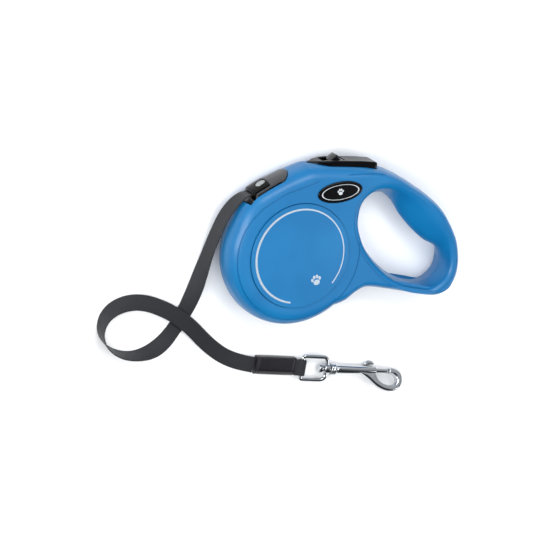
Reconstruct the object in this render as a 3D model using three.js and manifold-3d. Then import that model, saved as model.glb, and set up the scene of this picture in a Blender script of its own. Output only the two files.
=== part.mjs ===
// Retractable tape leash: a hand-held reel with its brake, spool and mainspring, and the
// webbing, ferrule and bolt snap on its free end. Millimetres, +Z up. It lies on its back
// face, with +X along the grip and +Y towards the brake button.
// The drawing frame has the spool axle as its Z axis and the parting plane at z = 0; the
// last lines move the whole leash so that the housing stands on z = 0 about the origin.
import * as THREE from 'three';
import { mergeVertices } from 'three/addons/utils/BufferGeometryUtils.js';
import Module from 'manifold-3d';

const wasm = await Module();
wasm.setup();

// Clearances
const gap = 0.3;                  // between pieces that touch
const runClearance = 4;           // between the spinning spool and the housing wall

// Housing
const drumRadius = 46.2;          // round end of the housing
const gripLength = 67.8;          // from the drum's edge to the far end of the grip
const faceHalf = 12.6;            // half the thickness over the moulded faces
const wall = 2.2;
const drumRounding = 11;          // how far the rim's rounding reaches in, round the drum
const gripRounding = 4.5;         // the same, round the grip
const rimPower = 2.3;             // exponent of the rim's superelliptic section
const flarePower = 1.6;           // how the hand opening widens towards the faces
const postRadius = 2.9;
const screwRadius = 1.1;
const screwHeadRadius = 2;

// Labels
const labelRadius = 33;
const labelRaise = 1.2;           // label discs stand this far proud of the faces
const labelSeat = 1;              // depth of the recess that a disc sits in
const badgeLength = 30;
const badgeWidth = 13;
const badgeRaise = 0.8;

// Tape and spool
const tapeWidth = 10;
const tapeThickness = 0.7;
const tapeLength = 3000;          // wound on the spool
const hubRadius = 23.5;
const hubWall = 1.8;
const flangeThickness = 1.4;
const toothCount = 20;
const toothDepth = 3;
const axleRadius = 3.6;
const axleBossRadius = 5;
const springStrip = 0.45;
const springTurns = 7;

// Brake
const buttonHalfWidth = 6.5;
const buttonFront = 3.2;          // x of the pointed nose
const buttonRear = 49;            // x of the square end
const buttonRise = 12.2;          // top of the button above the drum's radius
const buttonDepth = 5.2;          // top to underside
const pivotRadius = 1.5;
const pivotLevel = 0.73;          // height of the crown over the pin, as a share of the face's
const lockTravel = 5;

// Outlet
const outletHalf = 8.8;           // half the width of the black outlet pieces
const outletProud = 0.4;          // they stand this far proud of the rim
const mouthReach = 4.4;           // the mouth stands this far outside the drum

// Free end
const ferruleLength = 27.5;
const ferruleWidth = 12.2;
const ferruleHeight = 5.4;
const eyeWire = 1.3;              // radius of the eye's wire
const eyeLength = 17.2;           // bar to the middle of the swivel base
const eyeWidth = 14.9;            // between the centres of the eye's sides
const barrelRadius = 2.9;
const collarRadius = 4;
const boltRadius = 1.6;
const boltTravel = 8;
const hookThickness = 4.8;

// Derived places
const floor = -(faceHalf + labelRaise);
const spoolHalf = tapeWidth / 2 + 2 * gap;
const pivotHalf = faceHalf * pivotLevel - wall;
const axleHalf = spoolHalf + flangeThickness + 0.9;
const axleScrewHead = labelSeat - faceHalf + gap;
const packRadius = Math.sqrt((hubRadius + gap) ** 2 + tapeLength * tapeThickness / Math.PI);
const tapeLine = packRadius + gap + tapeThickness / 2;
const toothTip = drumRadius - wall - runClearance;
const mouth = -Math.sqrt(drumRadius ** 2 - tapeLine ** 2) - mouthReach;
const buttonTop = drumRadius + buttonRise;
const buttonUnder = buttonTop - buttonDepth;
const pivot = new THREE.Vector2(buttonRear - 4.5, drumRadius + 3.3);
const pawlTip = new THREE.Vector2(14.5, toothTip - 1.6);
const pressAngle = 5.5 * Math.PI / 180;

const finishes = {
  blue: [0x2f86c8, 0.42, 0],
  blackGloss: [0x0d0d0f, 0.18, 0],
  blackMoulded: [0x1c1b20, 0.45, 0],
  webbing: [0x24252b, 0.85, 0],
  print: [0x2c84c6, 0.35, 0],
  nylon: [0xd9d6cc, 0.5, 0],
  springSteel: [0x6d7278, 0.35, 1],
  steel: [0xa9adb2, 0.3, 1],
  chrome: [0xd8dade, 0.12, 1],
  paleInset: [0xa4a8a8, 0.25, 0],
};

// ---------------------------------------------------------------- helpers

function toSolid(geometry) {
  const bare = geometry.clone();
  bare.deleteAttribute('normal');
  bare.deleteAttribute('uv');
  const merged = mergeVertices(bare, 1e-4);
  const vertProperties = new Float32Array(merged.attributes.position.array);
  const triVerts = new Uint32Array(merged.index.array);
  return new wasm.Manifold(new wasm.Mesh({ numProp: 3, vertProperties, triVerts }));
}

function toGeometry(solid) {
  const mesh = solid.getMesh();
  const geometry = new THREE.BufferGeometry();
  geometry.setAttribute('position', new THREE.BufferAttribute(mesh.vertProperties, 3));
  geometry.setIndex(new THREE.BufferAttribute(mesh.triVerts, 1));
  return geometry;
}

function addAll(solids) {
  return solids.reduce((whole, solid) => whole.add(solid));
}

// A flat shape raised from z = low to z = high.
function slab(shape, low, high, curveSegments = 8) {
  const settings = { depth: high - low, bevelEnabled: false, curveSegments };
  return toSolid(new THREE.ExtrudeGeometry(shape, settings).translate(0, 0, low));
}

function polygon(points) {
  return new THREE.Shape(points.map(([x, y]) => new THREE.Vector2(x, y)));
}

function box(x0, x1, y0, y1, z0, z1) {
  const geometry = new THREE.BoxGeometry(x1 - x0, y1 - y0, z1 - z0);
  return toSolid(geometry.translate((x0 + x1) / 2, (y0 + y1) / 2, (z0 + z1) / 2));
}

// A rod along Z.
function rod(radius, x, y, low, high, segments = 20) {
  const geometry = new THREE.CylinderGeometry(radius, radius, high - low, segments);
  return toSolid(geometry.rotateX(Math.PI / 2).translate(x, y, (low + high) / 2));
}

// A rod along X about y = z = 0.
function axleRod(radius, low, high, segments = 20) {
  const geometry = new THREE.CylinderGeometry(radius, radius, high - low, segments);
  return toSolid(geometry.rotateZ(Math.PI / 2).translate((low + high) / 2, 0, 0));
}

// A turned piece about Z from a closed list of (radius, z).
function turned(profile, segments = 28) {
  const points = [...profile, profile[0]].map(([r, z]) => new THREE.Vector2(r, z));
  return toSolid(new THREE.LatheGeometry(points, segments).rotateX(Math.PI / 2));
}

// Rings of equal count joined into a skin, turned to face out by its own volume. The ends are
// capped as `capRing` is, which has the same count, or as fans where there is none.
function skin(rings, { closedLoop = false, capRing = null } = {}) {
  const count = rings[0].length;
  const spots = rings.flat();
  const faces = [];
  const last = closedLoop ? rings.length : rings.length - 1;
  for (let level = 0; level < last; level += 1) {
    const next = (level + 1) % rings.length;
    for (let i = 0; i < count; i += 1) {
      const j = (i + 1) % count;
      const corners = [level * count + i, level * count + j, next * count + j, next * count + i];
      faces.push([corners[0], corners[1], corners[2]], [corners[0], corners[2], corners[3]]);
    }
  }
  if (!closedLoop) {
    const fan = Array.from({ length: count - 2 }, (_, i) => [0, i + 1, i + 2]);
    const cap = capRing ? THREE.ShapeUtils.triangulateShape(capRing, []) : fan;
    const top = (rings.length - 1) * count;
    cap.forEach(([a, b, c]) => faces.push([c, b, a], [top + a, top + b, top + c]));
  }
  const volume = faces.reduce((sum, [a, b, c]) => {
    const across = new THREE.Vector3().crossVectors(spots[b], spots[c]);
    return sum + spots[a].dot(across);
  }, 0);
  const turnedFaces = volume < 0 ? faces.map(([a, b, c]) => [c, b, a]) : faces;
  const geometry = new THREE.BufferGeometry();
  const positions = spots.flatMap((p) => [p.x, p.y, p.z]);
  geometry.setAttribute('position', new THREE.Float32BufferAttribute(positions, 3));
  geometry.setIndex(turnedFaces.flat());
  return geometry;
}

// A round wire along a list of points; `reference` is any direction never along the wire.
function wire(points, radius, sides, reference, closedLoop = false) {
  const count = points.length;
  const rings = points.map((point, i) => {
    const before = closedLoop ? points[(i + count - 1) % count] : points[Math.max(i - 1, 0)];
    const after = closedLoop ? points[(i + 1) % count] : points[Math.min(i + 1, count - 1)];
    const along = after.clone().sub(before).normalize();
    const across = new THREE.Vector3().crossVectors(along, reference).normalize();
    const upright = new THREE.Vector3().crossVectors(across, along);
    return Array.from({ length: sides }, (_, k) => {
      const turn = 2 * Math.PI * k / sides;
      return point.clone()
        .addScaledVector(across, radius * Math.cos(turn))
        .addScaledVector(upright, radius * Math.sin(turn));
    });
  });
  return skin(rings, { closedLoop });
}

// Points of a helix about Z, or of a flat spiral where the two radii differ and pitch is 0.
function coil(innerRadius, outerRadius, low, high, turns, perTurn) {
  const count = Math.round(turns * perTurn);
  return Array.from({ length: count + 1 }, (_, i) => {
    const part = i / count;
    const turn = 2 * Math.PI * turns * part;
    const radius = innerRadius + (outerRadius - innerRadius) * part;
    return new THREE.Vector3(radius * Math.cos(turn), radius * Math.sin(turn), low + (high - low) * part);
  });
}

// ---------------------------------------------------------------- housing

// A point of the grip: a share of the grip's length from the drum's edge, and a height.
function grip(along, y) {
  return new THREE.Vector2(drumRadius + along * gripLength, y);
}

// A point over the drum: its height is counted from the drum's radius.
function crown(x, rise) {
  return new THREE.Vector2(x, drumRadius + rise);
}

function housingOutline() {
  const mouthTop = new THREE.Vector2(mouth + 0.8, tapeLine + 2.2);
  const arcStart = Math.PI - Math.asin((tapeLine - 3.3) / drumRadius);
  const path = new THREE.Path();
  path.absarc(0, 0, drumRadius, arcStart, 1.735 * Math.PI, false);
  path.splineThru([
    grip(-0.11, -30.8), grip(-0.02, -25.4), grip(0.08, -22), grip(0.26, -22.7),
    grip(0.55, -25.4), grip(0.78, -27.2), grip(0.92, -23.4), grip(0.98, -16.2),
    grip(1, -9), grip(0.99, 0), grip(0.945, 10.3), grip(0.856, 20.6), grip(0.741, 30),
    grip(0.592, 37.6), grip(0.4375, 43.7), grip(0.288, 48.9),
    crown(buttonRear + 6.4, 6.6), crown(buttonRear - 3.5, 8.7), crown(36, 9.6),
    crown(20, 10), crown(8, 9.9), crown(1, 9.2),
  ]);
  path.quadraticCurveTo(mouth + 17, drumRadius + 3, mouthTop.x, mouthTop.y);
  path.closePath();
  const points = path.getSpacedPoints(66);
  return points.slice(0, -1);
}

// The hand opening: its contour on the parting plane and on the faces, point for point.
function openingContours() {
  const pairs = [
    [grip(-0.094, 22), grip(-0.13, 23.5)], [grip(-0.066, 14), grip(-0.1, 14)],
    [grip(0.03, 3.6), grip(-0.006, 1.8)], [grip(0.186, -7), grip(0.16, -9.5)],
    [grip(0.36, -14.8), grip(0.346, -17.6)], [grip(0.55, -19), grip(0.542, -21.6)],
    [grip(0.724, -18.9), grip(0.738, -21.4)], [grip(0.838, -12.9), grip(0.868, -14.2)],
    [grip(0.858, -5), grip(0.9, -4.5)], [grip(0.79, 3.2), grip(0.87, 7.6)],
    [grip(0.657, 7.6), grip(0.79, 17)], [grip(0.499, 15.6), grip(0.66, 26)],
    [grip(0.368, 24.2), grip(0.506, 35)], [grip(0.273, 32.2), grip(0.353, 40.3)],
    [grip(0.157, 37.5), grip(0.179, 43.6)], [grip(0.026, 36.5), grip(0.019, 42.3)],
    [grip(-0.07, 30.5), grip(-0.106, 34.5)],
  ];
  const spread = (which) => {
    const points = pairs.map((pair) => new THREE.Vector3(pair[which].x, pair[which].y, 0));
    const curve = new THREE.CatmullRomCurve3(points, true, 'catmullrom', 0.5);
    return curve.getPoints(40).slice(0, -1).map((p) => new THREE.Vector2(p.x, p.y));
  };
  return { middle: spread(0), face: spread(1) };
}

const outline = housingOutline();
const opening = openingContours();

// Moves a counter-clockwise ring outwards along its own normals.
function spreadRing(ring, distanceAt) {
  const count = ring.length;
  return ring.map((point, i) => {
    const along = ring[(i + 2) % count].clone().sub(ring[(i + count - 2) % count]).normalize();
    const distance = distanceAt(point);
    return new THREE.Vector2(point.x + along.y * distance, point.y - along.x * distance);
  });
}

function roundingAt(x) {
  const blend = THREE.MathUtils.smoothstep(x, drumRadius * 0.3, drumRadius + gripLength * 0.35);
  return drumRounding + (gripRounding - drumRounding) * blend;
}

function raise(ring, z) {
  return ring.map((p) => new THREE.Vector3(p.x, p.y, z));
}

// The housing's outside without its hand opening, moved outwards by `grow`.
function bodySolid(grow) {
  const half = faceHalf + grow;
  const levels = [-1, -0.9, -0.7, -0.4, 0, 0.4, 0.7, 0.9, 1];
  const rings = levels.map((level) => {
    const share = 1 - (1 - Math.abs(level) ** rimPower) ** (1 / rimPower);
    return raise(spreadRing(outline, (p) => grow - roundingAt(p.x) * share), level * half);
  });
  return toSolid(skin(rings, { capRing: outline }));
}

// The hand opening as a solid that runs through both faces, moved outwards by `grow`.
function openingSolid(grow) {
  const levels = [-1.2, -1, -0.6, 0, 0.6, 1, 1.2];
  const rings = levels.map((level) => {
    const share = Math.min(Math.abs(level), 1) ** flarePower;
    const ring = opening.middle.map((p, i) => p.clone().lerp(opening.face[i], share));
    return raise(spreadRing(ring, () => grow), level * faceHalf);
  });
  return toSolid(skin(rings, { capRing: opening.middle }));
}

function ellipse(x, y, length, width, turn) {
  const shape = new THREE.Shape();
  shape.absellipse(x, y, length / 2, width / 2, 0, 2 * Math.PI, false, turn);
  return shape;
}

const screwPlaces = [
  crown(3, 1.8),
  grip(0.07, -13.5),
  grip(0.252, 46.6),
];
const badgePlace = crown(22, -5.7);
const badgeTurn = 0.165;

// The button seen from above (x, z), moved outwards by `grow`, as a solid from low y to high y.
function buttonPlan(grow, low, high) {
  const half = buttonHalfWidth + grow;
  const shape = new THREE.Shape();
  shape.moveTo(buttonFront - 2 * grow, 0);
  shape.quadraticCurveTo(buttonFront + 5, half * 0.92, buttonFront + 14, half);
  shape.lineTo(buttonRear - 2 + grow, half);
  shape.quadraticCurveTo(buttonRear + grow, half, buttonRear + grow, half - 2);
  shape.lineTo(buttonRear + grow, 2 - half);
  shape.quadraticCurveTo(buttonRear + grow, -half, buttonRear - 2 + grow, -half);
  shape.lineTo(buttonFront + 14, -half);
  shape.quadraticCurveTo(buttonFront + 5, -half * 0.92, buttonFront - 2 * grow, 0);
  const geometry = new THREE.ExtrudeGeometry(shape, { depth: high - low, bevelEnabled: false, curveSegments: 5 });
  return toSolid(geometry.rotateX(Math.PI / 2).translate(0, high, 0));
}

// The stretch of rim that the black outlet pieces fill, seen from the front.
function outletRegion(grow) {
  return polygon([
    [-10.5 + grow, drumRadius + 12], [-11 + grow, drumRadius + 2], [-14 + grow, drumRadius - 2 - grow],
    [mouth + 12, tapeLine + 2 - grow], [mouth + 7, tapeLine - 6 - grow], [mouth + 3, tapeLine - 6 - grow],
    [mouth - 6, tapeLine - 4 - grow], [mouth - 6, drumRadius + 12],
  ]);
}

function shell(side) {
  const front = side > 0;
  const deep = (inner, outer) => (front ? [inner, outer] : [-outer, -inner]);
  const halfSpace = box(-300, 300, -300, 300, ...deep(gap / 2, 40));
  const outside = bodySolid(0);
  const cavity = bodySolid(-wall).subtract(openingSolid(wall));
  const posts = addAll(screwPlaces.map((p) => rod(postRadius, p.x, p.y, -faceHalf, faceHalf, 12)));
  const bores = addAll(screwPlaces.map((p) => rod(screwRadius + gap, p.x, p.y, -faceHalf - 1, 7, 10)));
  const headBores = addAll(screwPlaces.map((p) => rod(screwHeadRadius + gap, p.x, p.y, -faceHalf - 1, -9, 12)));
  const seat = rod(labelRadius + gap, 0, 0, ...deep(faceHalf - labelSeat, 40), 48);
  const badge = ellipse(badgePlace.x, badgePlace.y, badgeLength + 2 * gap, badgeWidth + 2 * gap, badgeTurn);
  const badgeSeat = slab(badge, ...deep(faceHalf - labelSeat + 0.3, 40), 14);
  const buttonCut = buttonPlan(0.5, drumRadius + 1.5, drumRadius + 30);
  const outletCut = slab(outletRegion(gap), -outletHalf - gap, outletHalf + gap);
  let solid = outside.intersect(halfSpace).subtract(cavity);
  solid = solid.add(posts.intersect(outside).intersect(halfSpace));
  solid = solid.subtract(openingSolid(0)).subtract(bores).subtract(seat).subtract(badgeSeat);
  solid = solid.subtract(buttonCut).subtract(outletCut);
  solid = solid.add(rod(axleBossRadius, 0, 0, ...deep(axleHalf + gap, faceHalf - labelSeat), 20));
  if (!front) {
    const axleBore = rod(screwRadius + gap, 0, 0, -40, 0, 12);
    const axleHeadBore = rod(screwHeadRadius + gap, 0, 0, -40, axleScrewHead + 1.6 + gap, 12);
    solid = solid.subtract(headBores).subtract(axleBore).subtract(axleHeadBore);
  }
  const pieces = solid.decompose().sort((a, b) => b.volume() - a.volume());
  return toGeometry(pieces[0]);
}

function screw(place, head, tip) {
  const headPart = rod(screwHeadRadius, place.x, place.y, head, head + 1.6, 12);
  const slot = box(place.x - 1.3, place.x + 1.3, place.y - 0.3, place.y + 0.3, head - 1, head + 0.7);
  const slotAcross = box(place.x - 0.3, place.x + 0.3, place.y - 1.3, place.y + 1.3, head - 1, head + 0.7);
  return toGeometry(headPart.add(rod(screwRadius, place.x, place.y, head + 1, tip, 10)).subtract(slot).subtract(slotAcross));
}

function labelDisc(side) {
  const low = faceHalf - labelSeat + gap;
  const high = faceHalf + labelRaise;
  const profile = [[0, low], [labelRadius, low], [labelRadius, high - 0.5], [labelRadius - 0.5, high], [0, high]];
  const points = profile.map(([r, z]) => new THREE.Vector2(r, z));
  const geometry = new THREE.LatheGeometry(points, 48).rotateX(Math.PI / 2);
  const solid = toSolid(geometry);
  return toGeometry(side > 0 ? solid : solid.rotate([180, 0, 0]));
}

function badgePlate(side) {
  const shape = ellipse(badgePlace.x, badgePlace.y, badgeLength, badgeWidth, badgeTurn);
  const low = faceHalf - labelSeat + 2 * gap;
  const high = faceHalf + badgeRaise;
  return toGeometry(side > 0 ? slab(shape, low, high, 14) : slab(shape, -high, -low, 14));
}

// ---------------------------------------------------------------- outlet

function tapeSlot(low, high) {
  const half = tapeWidth / 2 + gap;
  return box(low, high, tapeLine - tapeThickness / 2 - gap, tapeLine + tapeThickness / 2 + gap, -half, half);
}

const buckleHalf = outletHalf - 1.7;
const buckleRear = mouth + 10;
const lipTop = tapeLine - tapeThickness / 2 - 2.2;
const guidePinPlace = new THREE.Vector2(mouth + 1.8, lipTop - 1.3);

function outletGuide() {
  const region = slab(outletRegion(0), -outletHalf, outletHalf);
  const lip = box(mouth - 3, buckleRear, lipTop - 9, lipTop, -outletHalf, outletHalf);
  const rind = bodySolid(outletProud).subtract(bodySolid(-2));
  const buckleSpace = box(mouth - 20, buckleRear, lipTop, drumRadius + 20, -buckleHalf - gap, buckleHalf + gap);
  const spoolSpace = rod(toothTip + 1.2, 0, 0, -outletHalf - 1, outletHalf + 1, 48);
  const pinSpace = rod(1.1 + gap, guidePinPlace.x, guidePinPlace.y, -7.8, 7.8, 16);
  let solid = rind.add(lip).intersect(region).intersect(bodySolid(outletProud));
  solid = solid.subtract(buckleSpace).subtract(spoolSpace).subtract(pinSpace).subtract(tapeSlot(mouth - 9, 0));
  const pieces = solid.decompose().sort((a, b) => b.volume() - a.volume());
  return toGeometry(pieces[0]);
}

function stopBuckle() {
  const space = box(mouth - 9, buckleRear - gap, lipTop + gap, drumRadius + 20, -buckleHalf, buckleHalf);
  const core = rod(toothTip + 1.2, 0, 0, -outletHalf, outletHalf, 48);
  const inset = insetSolid(gap);
  return toGeometry(bodySolid(0.9).intersect(space).subtract(core).subtract(tapeSlot(mouth - 9, 0)).subtract(inset));
}

// The oval inset on the buckle's sloping top.
function insetSolid(grow) {
  const shape = ellipse(0, 0, 6.6 + 2 * grow, 5 + 2 * grow, 0);
  const low = grow > 0 ? -0.6 - grow : -0.6;
  const high = grow > 0 ? 4 : 1;
  const geometry = new THREE.ExtrudeGeometry(shape, { depth: high - low, bevelEnabled: false, curveSegments: 20 });
  geometry.translate(0, 0, low).rotateX(-Math.PI / 2).rotateZ(0.55);
  return toSolid(geometry.translate(mouth + 6.6, tapeLine + 6.2, 1));
}

// ---------------------------------------------------------------- spool and spring

function toothedFlange(low, high, phase) {
  const root = toothTip - toothDepth;
  const pitch = 2 * Math.PI / toothCount;
  const corners = [];
  for (let tooth = 0; tooth < toothCount; tooth += 1) {
    const start = phase + tooth * pitch;
    // The gap between teeth is centred on `start`; each tooth leans like a ratchet's.
    [[root, -0.24], [root, 0.24], [toothTip, 0.34], [toothTip, 0.56]].forEach(([radius, share]) => {
      const turn = start + share * pitch;
      corners.push([radius * Math.cos(turn), radius * Math.sin(turn)]);
    });
  }
  const shape = polygon(corners);
  const hole = new THREE.Path();
  hole.absarc(0, 0, hubRadius - hubWall / 2, 0, 2 * Math.PI, true);
  shape.holes.push(hole);
  return slab(shape, low, high, 16);
}

function spool() {
  const pressed = pawlTip.clone().rotateAround(pivot, pressAngle);
  const phase = Math.atan2(pressed.y, pressed.x);
  const outer = spoolHalf + flangeThickness;
  const bore = axleRadius + 0.5;
  const core = turned([
    [bore, -outer], [hubRadius, -outer], [hubRadius, outer], [hubRadius - hubWall, outer],
    [hubRadius - hubWall, -spoolHalf], [bore, -spoolHalf],
  ], 32);
  const flanges = [toothedFlange(spoolHalf, outer, phase), toothedFlange(-outer, -spoolHalf, phase)];
  return toGeometry(addAll([core, ...flanges]));
}

function springCover() {
  const low = spoolHalf + gap;
  const high = spoolHalf + flangeThickness;
  const rim = hubRadius - hubWall - gap;
  return toGeometry(turned([[axleRadius + 0.5, low], [rim, low], [rim, high], [axleRadius + 0.5, high]]));
}

function tapePack() {
  const half = tapeWidth / 2;
  return toGeometry(turned([[hubRadius + gap, -half], [packRadius, -half], [packRadius, half], [hubRadius + gap, half]], 40));
}

function mainspring() {
  const half = tapeWidth / 2 - 0.2;
  const middle = coil(axleRadius + 1.2, hubRadius - hubWall - 1, 0, 0, springTurns, 14);
  const rings = middle.map((p) => {
    const out = p.clone().normalize().multiplyScalar(springStrip / 2);
    return [
      p.clone().add(out).setZ(-half), p.clone().add(out).setZ(half),
      p.clone().sub(out).setZ(half), p.clone().sub(out).setZ(-half),
    ];
  });
  return skin(rings);
}

function axle() {
  const half = axleHalf;
  const shaft = rod(axleRadius, 0, 0, -half, half, 20);
  const slot = box(-0.5, 0.5, 0, axleRadius + 1, -spoolHalf, spoolHalf);
  const screwBore = rod(screwRadius + gap, 0, 0, -half - 1, -1);
  return toGeometry(shaft.subtract(slot).subtract(screwBore));
}

// ---------------------------------------------------------------- brake

const springSeat = 2.6;
const lockHalf = 3.6;
const lockRear = 27;
const lockLength = 10;
const lockFloor = buttonTop - 1.8;

function brakeButton() {
  const side = slab(polygon([
    [buttonFront, buttonTop - 2.2], [buttonFront + 11, buttonTop - 0.3], [buttonFront + 14, buttonTop],
    [buttonRear - 2, buttonTop], [buttonRear, buttonTop - 1.6], [buttonRear, buttonUnder],
    [buttonFront + 6, buttonUnder], [buttonFront, buttonTop - 3.2],
  ]), -buttonHalfWidth, buttonHalfWidth);
  const pocket = box(
    lockRear - lockLength - lockTravel - gap, lockRear + gap,
    lockFloor, buttonTop + 5, -lockHalf - gap, lockHalf + gap,
  );
  return toGeometry(side.intersect(buttonPlan(0, buttonUnder - 5, buttonTop + 5)).subtract(pocket));
}

// The pawl's tip is forked: its two prongs meet the two flanges, and the tape runs between them.
function brakePawl() {
  const half = buttonHalfWidth + 0.1;
  const top = buttonUnder - gap;
  const arm = slab(polygon([
    [pawlTip.x - 0.7, pawlTip.y + 0.2], [pawlTip.x + 1.1, pawlTip.y], [pawlTip.x + 3.2, pawlTip.y + 5],
    [pivot.x - 2, pivot.y - 2.6], [pivot.x + 2, pivot.y - 2.6], [pivot.x + 3, pivot.y],
    [pivot.x + 2, top], [pivot.x - 18, top], [pivot.x - 22, top - 2.4], [pawlTip.x + 1, top - 3.4],
    [pawlTip.x - 0.9, pawlTip.y + 7],
  ]), -half, half);
  const springSpace = rod(3.6, pivot.x, pivot.y, springSeat, 20);
  const forkHalf = spoolHalf - 0.2;
  const fork = box(pawlTip.x - 5, pawlTip.x + 8, pawlTip.y - 5, pawlTip.y + 4, -forkHalf, forkHalf);
  const pinSpace = rod(pivotRadius + gap, pivot.x, pivot.y, -20, 20);
  return toGeometry(arm.subtract(pinSpace).subtract(springSpace).subtract(fork));
}

function lockSlider() {
  const low = lockFloor + gap;
  const front = lockRear - lockLength;
  const base = slab(polygon([
    [front, low], [lockRear, low], [lockRear, buttonTop - 0.3], [lockRear - 4.2, buttonTop + 0.4],
    [lockRear - 5.4, buttonTop + 2.8], [lockRear - 6.6, buttonTop + 2.4], [front, buttonTop - 0.9],
  ]), -lockHalf, lockHalf);
  return toGeometry(base);
}

function brakeSpring() {
  const points = coil(2.4, 2.4, springSeat + gap + 0.4, springSeat + 3, 3, 10);
  return wire(points, 0.35, 5, new THREE.Vector3(0, 0, 1)).translate(pivot.x, pivot.y, 0);
}

// ---------------------------------------------------------------- tape outside the housing

// Chosen points of the tape's middle line, from the mouth to the ferrule: x, y, z and how far
// the tape's width leans from upright towards the left of its heading, in degrees.
const tapeRoute = [
  [-34.2, 35.8, 0, 0], [-38, 34, 0, 6], [-42, 30, -0.6, 12], [-45.3, 24.4, -1.8, 15],
  [-47.8, 17.5, -3.4, 16], [-49.8, 9, -5.2, 16], [-51.5, 0, -6.9, 18], [-53, -9.3, -8.4, 24],
  [-54.5, -18, -9.4, 38], [-56.2, -27, -10.3, 53], [-58.4, -36, -11.5, 70], [-61.6, -45.5, -12.8, 84],
  [-66.2, -54.4, -13, 86], [-72.8, -62.2, -11.7, 70], [-81.2, -67.4, -9.85, 44], [-91, -69.8, -8.95, 24],
  [-100.6, -69.2, -8.8, 17], [-108.8, -65.8, -8.7, 11], [-114.4, -60.4, -8.6, 4], [-116.9, -53.6, -8.6, -4],
  [-115.4, -46.4, -8.8, -18], [-110.6, -41, -9.3, -36], [-103.6, -37.8, -10.2, -54],
  [-95.2, -36.6, -11, -68], [-86.2, -37.5, -11.2, -77], [-77.4, -40.2, -11.2, -83],
  [-69.4, -43.6, -11.1, -87], [-61.8, -48, -11.1, -90], [-54, -53.7, -11.5, -90],
  [-46.3, -60.2, -12.3, -90], [-38.2, -66.4, -13, -90], [-29.4, -71.6, -13.2, -90],
  [-20, -75, -12.6, -90], [-9.2, -77, -11, -90],
];

function tapeOutside() {
  const places = tapeRoute.map(([x, y, z]) => new THREE.Vector3(x, y, z));
  const leans = tapeRoute.map((p) => new THREE.Vector3(THREE.MathUtils.degToRad(p[3]), 0, 0));
  const line = new THREE.CatmullRomCurve3(places, false, 'catmullrom', 0.5);
  const lean = new THREE.CatmullRomCurve3(leans, false, 'catmullrom', 0.5);
  const steps = 78;
  const up = new THREE.Vector3(0, 0, 1);
  const rings = Array.from({ length: steps + 1 }, (_, i) => {
    const part = i / steps;
    const middle = line.getPoint(part);
    const along = line.getTangent(part);
    const left = new THREE.Vector3().crossVectors(up, along).normalize();
    const angle = lean.getPoint(part).x;
    const wide = up.clone().multiplyScalar(Math.cos(angle)).addScaledVector(left, Math.sin(angle));
    wide.addScaledVector(along, -wide.dot(along)).normalize().multiplyScalar(tapeWidth / 2);
    const thick = new THREE.Vector3().crossVectors(along, wide).normalize().multiplyScalar(tapeThickness / 2);
    return [
      middle.clone().add(wide).add(thick), middle.clone().add(wide).sub(thick),
      middle.clone().sub(wide).sub(thick), middle.clone().sub(wide).add(thick),
    ];
  });
  return skin(rings);
}

function tapeInside() {
  const start = new THREE.Vector3(...tapeRoute[0].slice(0, 3));
  const half = tapeWidth / 2;
  const low = tapeLine - tapeThickness / 2;
  return toGeometry(box(start.x + gap, 26, low, low + tapeThickness, -half, half));
}

// ---------------------------------------------------------------- ferrule, eye and snap
// These are drawn along their own X axis: the ferrule from its strap end, and the eye and the
// snap from the eye's bar.

function ferrule() {
  const half = ferruleWidth / 2;
  const shape = new THREE.Shape();
  const corner = 1.2;
  const top = ferruleHeight / 2;
  shape.moveTo(corner - half, -top);
  shape.lineTo(half - corner, -top);
  shape.quadraticCurveTo(half, -top, half, corner - top);
  shape.lineTo(half, top - corner);
  shape.quadraticCurveTo(half, top, half - corner, top);
  shape.lineTo(corner - half, top);
  shape.quadraticCurveTo(-half, top, -half, top - corner);
  shape.lineTo(-half, corner - top);
  shape.quadraticCurveTo(-half, -top, corner - half, -top);
  const settings = { depth: ferruleLength - 1, bevelThickness: 0.5, bevelSize: 0.5, bevelOffset: -0.5, bevelSegments: 1, curveSegments: 3 };
  const geometry = new THREE.ExtrudeGeometry(shape, settings);
  return geometry.rotateX(Math.PI / 2).rotateZ(Math.PI / 2).translate(0.5, 0, 0);
}

function strapEyeLoop() {
  const inner = eyeWire + gap;
  const outer = inner + tapeThickness + 0.3;
  const shape = new THREE.Shape();
  shape.moveTo(-3.6, -1.1);
  shape.lineTo(-1.6, -outer * 0.9);
  shape.absarc(0, 0, outer, -0.7 * Math.PI, 0.7 * Math.PI, false);
  shape.lineTo(-3.6, 1.1);
  shape.closePath();
  const hole = new THREE.Path();
  hole.absarc(0, 0, inner, 0, 2 * Math.PI, true);
  shape.holes.push(hole);
  const settings = { depth: tapeWidth, bevelEnabled: false, curveSegments: 12 };
  return new THREE.ExtrudeGeometry(shape, settings).rotateX(Math.PI / 2).translate(0, tapeWidth / 2, 0);
}

const rivetHeadFront = eyeLength - 5.6;

function swivelEye() {
  const half = eyeWidth / 2;
  const path = new THREE.Path();
  path.moveTo(1.5, -half);
  path.lineTo(eyeLength - 4, -half);
  path.quadraticCurveTo(eyeLength + 0.5, -half, eyeLength, -half + 4.5);
  path.lineTo(eyeLength, half - 4.5);
  path.quadraticCurveTo(eyeLength + 0.5, half, eyeLength - 4, half);
  path.lineTo(1.5, half);
  path.quadraticCurveTo(0, half, 0, half - 1.5);
  path.lineTo(0, 1.5 - half);
  path.quadraticCurveTo(0, -half, 1.5, -half);
  const points = path.getSpacedPoints(36).slice(0, -1).map((p) => new THREE.Vector3(p.x, p.y, 0));
  const ring = toSolid(wire(points, eyeWire, 8, new THREE.Vector3(0, 0, 1), true));
  const base = axleRod(3.2, eyeLength - 2, eyeLength + 2, 24);
  return toGeometry(ring.add(base).subtract(axleRod(1.3 + gap, eyeLength - 5, eyeLength + 5)));
}

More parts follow.
